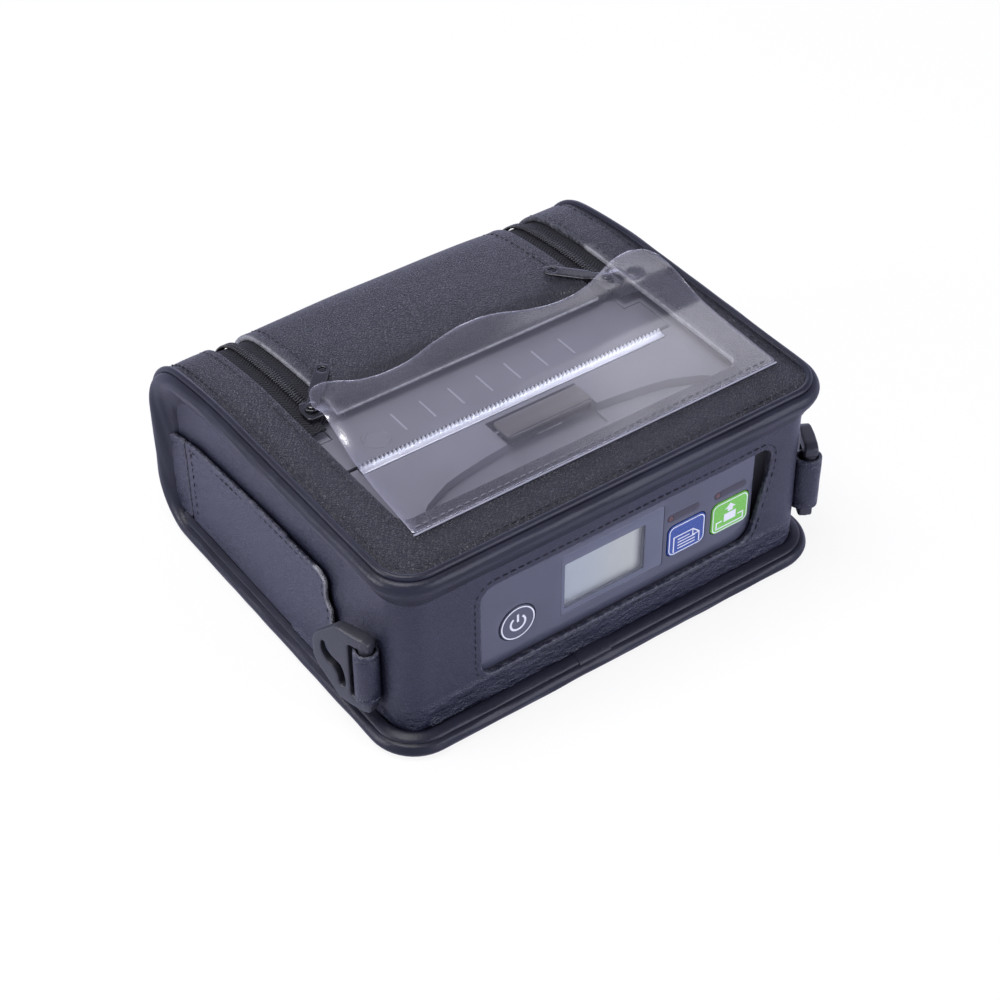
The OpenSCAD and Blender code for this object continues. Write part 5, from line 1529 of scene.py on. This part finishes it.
def ink(name, shapes, body, material, top=0.34):
    """Printed film: one thin plate for each shape, which is a list of loops."""
    return merge(name, [faced("ink", loops, top, 0.06, body, material, 0.02, 5) for loops in shapes], body)


def key(name, outline, flange, body, material):
    """Cap, flange and stem of one key as one piece."""
    x, z = outline.mean(0)
    return merge(name, [faced("cap", [outline], 0.3, 2.4, body, material, 0.35, 1.6),
                        faced("flange", [flange], -2.1, 0.75, body, material, 0.1),
                        faced("stem", [circle(x, z, 1.6)], -2.8, 3.1, body, material, 0.2)], body)


def arc_points(x, z, r, a0, a1, count=24):
    return [(x + r * math.cos(a), z + r * math.sin(a)) for a in np.radians(np.linspace(a0, a1, count))]


def moved(points, x, z):
    """A mark drawn about the middle of its key, put on that key."""
    return [(x + u, z + v) for u, v in points]


def page_marks():
    """A sheet with a turned corner and four lines of writing."""
    page = [(-5.1, -5.0), (-5.1, 1.2), (2.6, 1.2), (5.1, -1.1), (5.1, -5.0)]
    corner = [(2.5, 1.1), (2.5, -1.2), (5.0, -1.2)]
    lines = [[(-3.5, -0.3 - 1.25 * k), (1.2 if k == 0 else 3.5, -0.3 - 1.25 * k)] for k in range(4)]
    return [stroke(page, 0.45), stroke(corner, 0.4), *(stroke(line, 0.4) for line in lines)]


def feed_marks():
    """A tray, a sheet and an arrow that moves it out."""
    tray = [(-3.2, -1.8), (-5.4, -1.8), (-5.4, -4.4), (5.4, -4.4), (5.4, -1.8), (3.2, -1.8)]
    paper = [(-2.4, -2.6), (2.4, -2.6), (2.4, 0.6), (-2.4, 0.6)]
    arrow = [(-1.0, 1.2), (1.0, 1.2), (1.0, 2.4), (2.2, 2.4), (0, 4.3), (-2.2, 2.4), (-1.0, 2.4)]
    return [stroke(tray, 0.5), paper, arrow]


blue_cap = plastic("blue_cap", (0.030, 0.075, 0.32), 0.28, 2400, 0.015, 0.08)
green_cap = plastic("green_cap", (0.18, 0.53, 0.075), 0.28, 2400, 0.015, 0.08)
for word, finish, marks in (("print", blue_cap, page_marks()), ("feed", green_cap, feed_marks())):
    x, z = keys[word]
    body = body_of(word + "_key")
    cap = key(word + "_key_cap", key_outline(x, z, 0, 2.4, 0.8), key_outline(x, z, 0.7, 1), body, finish)
    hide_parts(word + "_key")
    border = [key_outline(x, z, -0.45, 2.1, 0.7), key_outline(x, z, -0.8, 1.8, 0.7)]
    ink(word + "_key_marks", [border] + [[np.array(moved(m, x, z))] for m in marks], body, key_ink)
POWER = body_of("power_key")
power_rim, power_flange = circle(power_x, power_z, POWER_R, 48), circle(power_x, power_z, POWER_R + 1, 48)
power = key("power_key_cap", power_rim, power_flange, POWER, panel_film)
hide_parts("power_key")
ink("power_key_marks", [[circle(power_x, power_z, 6.2, 48), circle(power_x, power_z, 5.75, 48)],
                        [stroke(arc_points(power_x, power_z, 2.7, 128, 412), 0.75)],
                        [stroke([(power_x, power_z + 0.4), (power_x, power_z + 3.5)], 0.75)]], POWER, key_ink)
pill_ink = plastic("pill_ink", (0.040, 0.036, 0.052), 0.3, spread=0.1)
pills = [[block(x - 1.5, x + 11.5, z - 1.5, z + 1.5, 1.45, 0.5), circle(x, z, 1.15, 16)] for x, z in lamps]
ink("lamp_pills", pills, PANEL_BODY, pill_ink, 0.04)
lamp_plastic = plastic("lamp_plastic", (0.10, 0.045, 0.050), 0.3, spread=0.1)
lamp_parts = [faced("lamp", [circle(x, z, 1.05, 16)], 0.1, 7.5, PANEL_BODY, lamp_plastic, 0.25)
              for x, z in lamps]
lamp_piece = merge("panel_lamps", lamp_parts, PANEL_BODY)
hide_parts("status_leds")
print("keys, marks and lamps ready")

# %% [markdown]
# ## Parts inside the printer
#
# Battery, boards, gears, motor, print head and paper show only with the lids
# open. They keep their CAD shapes and get finishes of their own: fibre board
# with copper tracks, steel, nylon, rubber, ceramic and card.

# %% Parts inside the printer
def circuit_board():
    s = Surface("circuit_board", specular_ior_level=0.4)
    tracks = s.cells(420, s.scaled(1, 1, 0.6)).step(0.03, 0.08)
    s.set("Base Color", s.colour(tracks, (0.10, 0.19, 0.06), (0.012, 0.085, 0.035)))
    s.set("Roughness", 0.35 + tracks * 0.1)
    s.bump(tracks, 0.03)
    return s.material


def thermal_paper():
    s = Surface("thermal_paper", specular_ior_level=0.3)
    layers = s.noise(3000, 2, s.scaled(1, 0.02, 0.02))
    fibre = s.noise(1200, 4)
    s.set("Base Color", s.colour(fibre * 0.5 + layers * 0.5, (0.76, 0.76, 0.77), (0.88, 0.88, 0.90)))
    s.set("Roughness", 0.55 + fibre * 0.2)
    s.bump(fibre, 0.02)
    return s.material


card = plastic("card", (0.34, 0.25, 0.15), 0.85, 1500, 0.05)
ceramic = plastic("ceramic", (0.42, 0.36, 0.28), 0.3, 900, 0.01)
battery_wrap = plastic("battery_wrap", (0.045, 0.05, 0.075), 0.3, 700, 0.05)
hook_pile = plastic("hook_pile", (0.02, 0.02, 0.024), 0.9, 5200, 0.3)
inner_parts = {
    (steel, "steel"): ("zip_end_stops", "lever_pin", "lid_pin", "platen_shaft", "idler_stud", "shell_screws",
                       "lever_spring", "head_spring", "side_frames"),
    (aluminium, "heat_sink"): ("head_sink",),
    (aluminium, "steel"): ("motor",),
    (ceramic, "ceramic"): ("print_head",),
    (rubber, "rubber"): ("platen_rubber",),
    (white_plastic, "white_plastic"): ("platen_bushes", "platen_gear", "idler_gear", "motor_pinion"),
    (dark_plastic, "dark_plastic"): ("port_block", "paper_cradle"),
    (hook_pile, "dark_plastic"): ("side_flap_fastener",),
    (shell_plastic, "shell"): ("lower_shell", "battery_door"),
    (battery_wrap, "battery_wrap"): ("battery_pack",),
    (circuit_board(), "circuit"): ("panel_board", "main_board"),
    (thermal_paper(), "paper"): ("paper_roll",),
    (card, "card"): ("paper_core",)}
for (material, slot_name), nodes in inner_parts.items():
    for node in nodes:
        ob = frame["nodes"][node]
        ob.data.materials.clear()
        ob.data.materials.append(material)
print("inner parts:", sum(len(n) for n in inner_parts.values()))

# %% [markdown]
# ## Light and floor
#
# Soft lamps from the upper left and front draw the seams without hard
# shadows, and two small ones behind edge the rolled corners. The world is
# white to the camera, bluish and darker overhead in reflections, and a dim even
# fill otherwise. The floor is part white light, so only a faint shadow stays.

# %% Light and floor
AIM, REFLECTED_TINT, FLOOR_WHITE = Vector((0, 0, 0.03)), (0.69, 0.70, 1.0, 1), 0.88


def lamp(name, place, size, power, colour):
    """A round soft lamp, its size in metres and its power in watts."""
    data = bpy.data.lights.new(name, "AREA")
    data.shape, data.size, data.energy, data.color = "DISK", size, power, colour
    ob = bpy.data.objects.new(name, data)
    ob.location = place
    ob.rotation_euler = (AIM - Vector(place)).to_track_quat("-Z", "Y").to_euler()
    bpy.context.scene.collection.objects.link(ob)


lamp("key", (-1.15, 0.35, 0.45), 0.6, 8.0, (0.95, 0.96, 1.0))
lamp("front", (0.60, -1.15, 0.6), 1.1, 13.0, (0.84, 0.86, 1.0))
lamp("top", (-0.3, 0.1, 1.3), 0.8, 14.0, (0.98, 0.98, 1.0))
lamp("back", (0.90, 0.85, 0.98), 0.36, 0.34, (0.93, 0.94, 1.0))
lamp("rear", (0.80, 1.30, 0.40), 0.7, 2.5, (0.72, 0.73, 1.0))


def white_where_seen(tree, out, plain, share):
    """Mixes white light over a shader for the rays that carry an image."""
    kind = "Background" if plain.bl_idname == "ShaderNodeBackground" else "Emission"
    kinds = (kind, "MixShader", "LightPath", "Mix")
    white, mix, path, tint = (tree.nodes.new("ShaderNode" + k) for k in kinds)
    camera_ray, glossy_ray, clear_ray = (
        Signal(tree, path.outputs[f"Is {k} Ray"]) for k in ("Camera", "Glossy", "Transmission"))
    sees = camera_ray + glossy_ray + clear_ray
    tint.data_type = "RGBA"
    feed(tree, tint.inputs[0], camera_ray)
    tint.inputs[6].default_value = REFLECTED_TINT
    tint.inputs[7].default_value = (1, 1, 1, 1)
    tree.links.new(tint.outputs[2], white.inputs[0])
    feed(tree, mix.inputs[0], sees.step(0, 1) * share)
    tree.links.new(plain.outputs[0], mix.inputs[1])
    tree.links.new(white.outputs[0], mix.inputs[2])
    tree.links.new(mix.outputs[0], out.inputs[0])
    return white


def dim_ceiling(tree, white):
    """Reflections see a white horizon and a darker ceiling."""
    way = tree.nodes.new("ShaderNodeSeparateXYZ")
    tree.links.new(tree.nodes.new("ShaderNodeTexCoord").outputs["Generated"], way.inputs[0])
    path = tree.nodes.new("ShaderNodeLightPath")
    strength = Signal(tree, way.outputs[2]).step(0.1, 0.85, (1.0, 0.42))
    seen = Signal(tree, path.outputs["Is Camera Ray"])
    feed(tree, white.inputs["Strength"], strength.math("MAXIMUM", strength, seen))


world = bpy.data.worlds.new("studio")
bpy.context.scene.world = world
world.use_nodes = True
room = world.node_tree
room.nodes.clear()
sky, sky_out = room.nodes.new("ShaderNodeBackground"), room.nodes.new("ShaderNodeOutputWorld")
sky.inputs["Color"].default_value = (0.86, 0.87, 1.0, 1)
sky.inputs["Strength"].default_value = 0.25
dim_ceiling(room, white_where_seen(room, sky_out, sky, 1.0))
paper = Surface("paper_floor")
paper.set("Base Color", paper.colour(paper.noise(9), (0.86, 0.86, 0.88), (0.90, 0.90, 0.92)))
paper.set("Roughness", 0.7 + paper.noise(40) * 0.1)
white_where_seen(paper.tree, paper.out, paper.shader, FLOOR_WHITE)
floor = plain_object("floor", [(x, y, 0) for x, y in ((-3, -3), (3, -3), (3, 3), (-3, 3))], [(0, 1, 2, 3)])
floor.data.materials.append(paper.material)
print("lamps, world and floor ready")
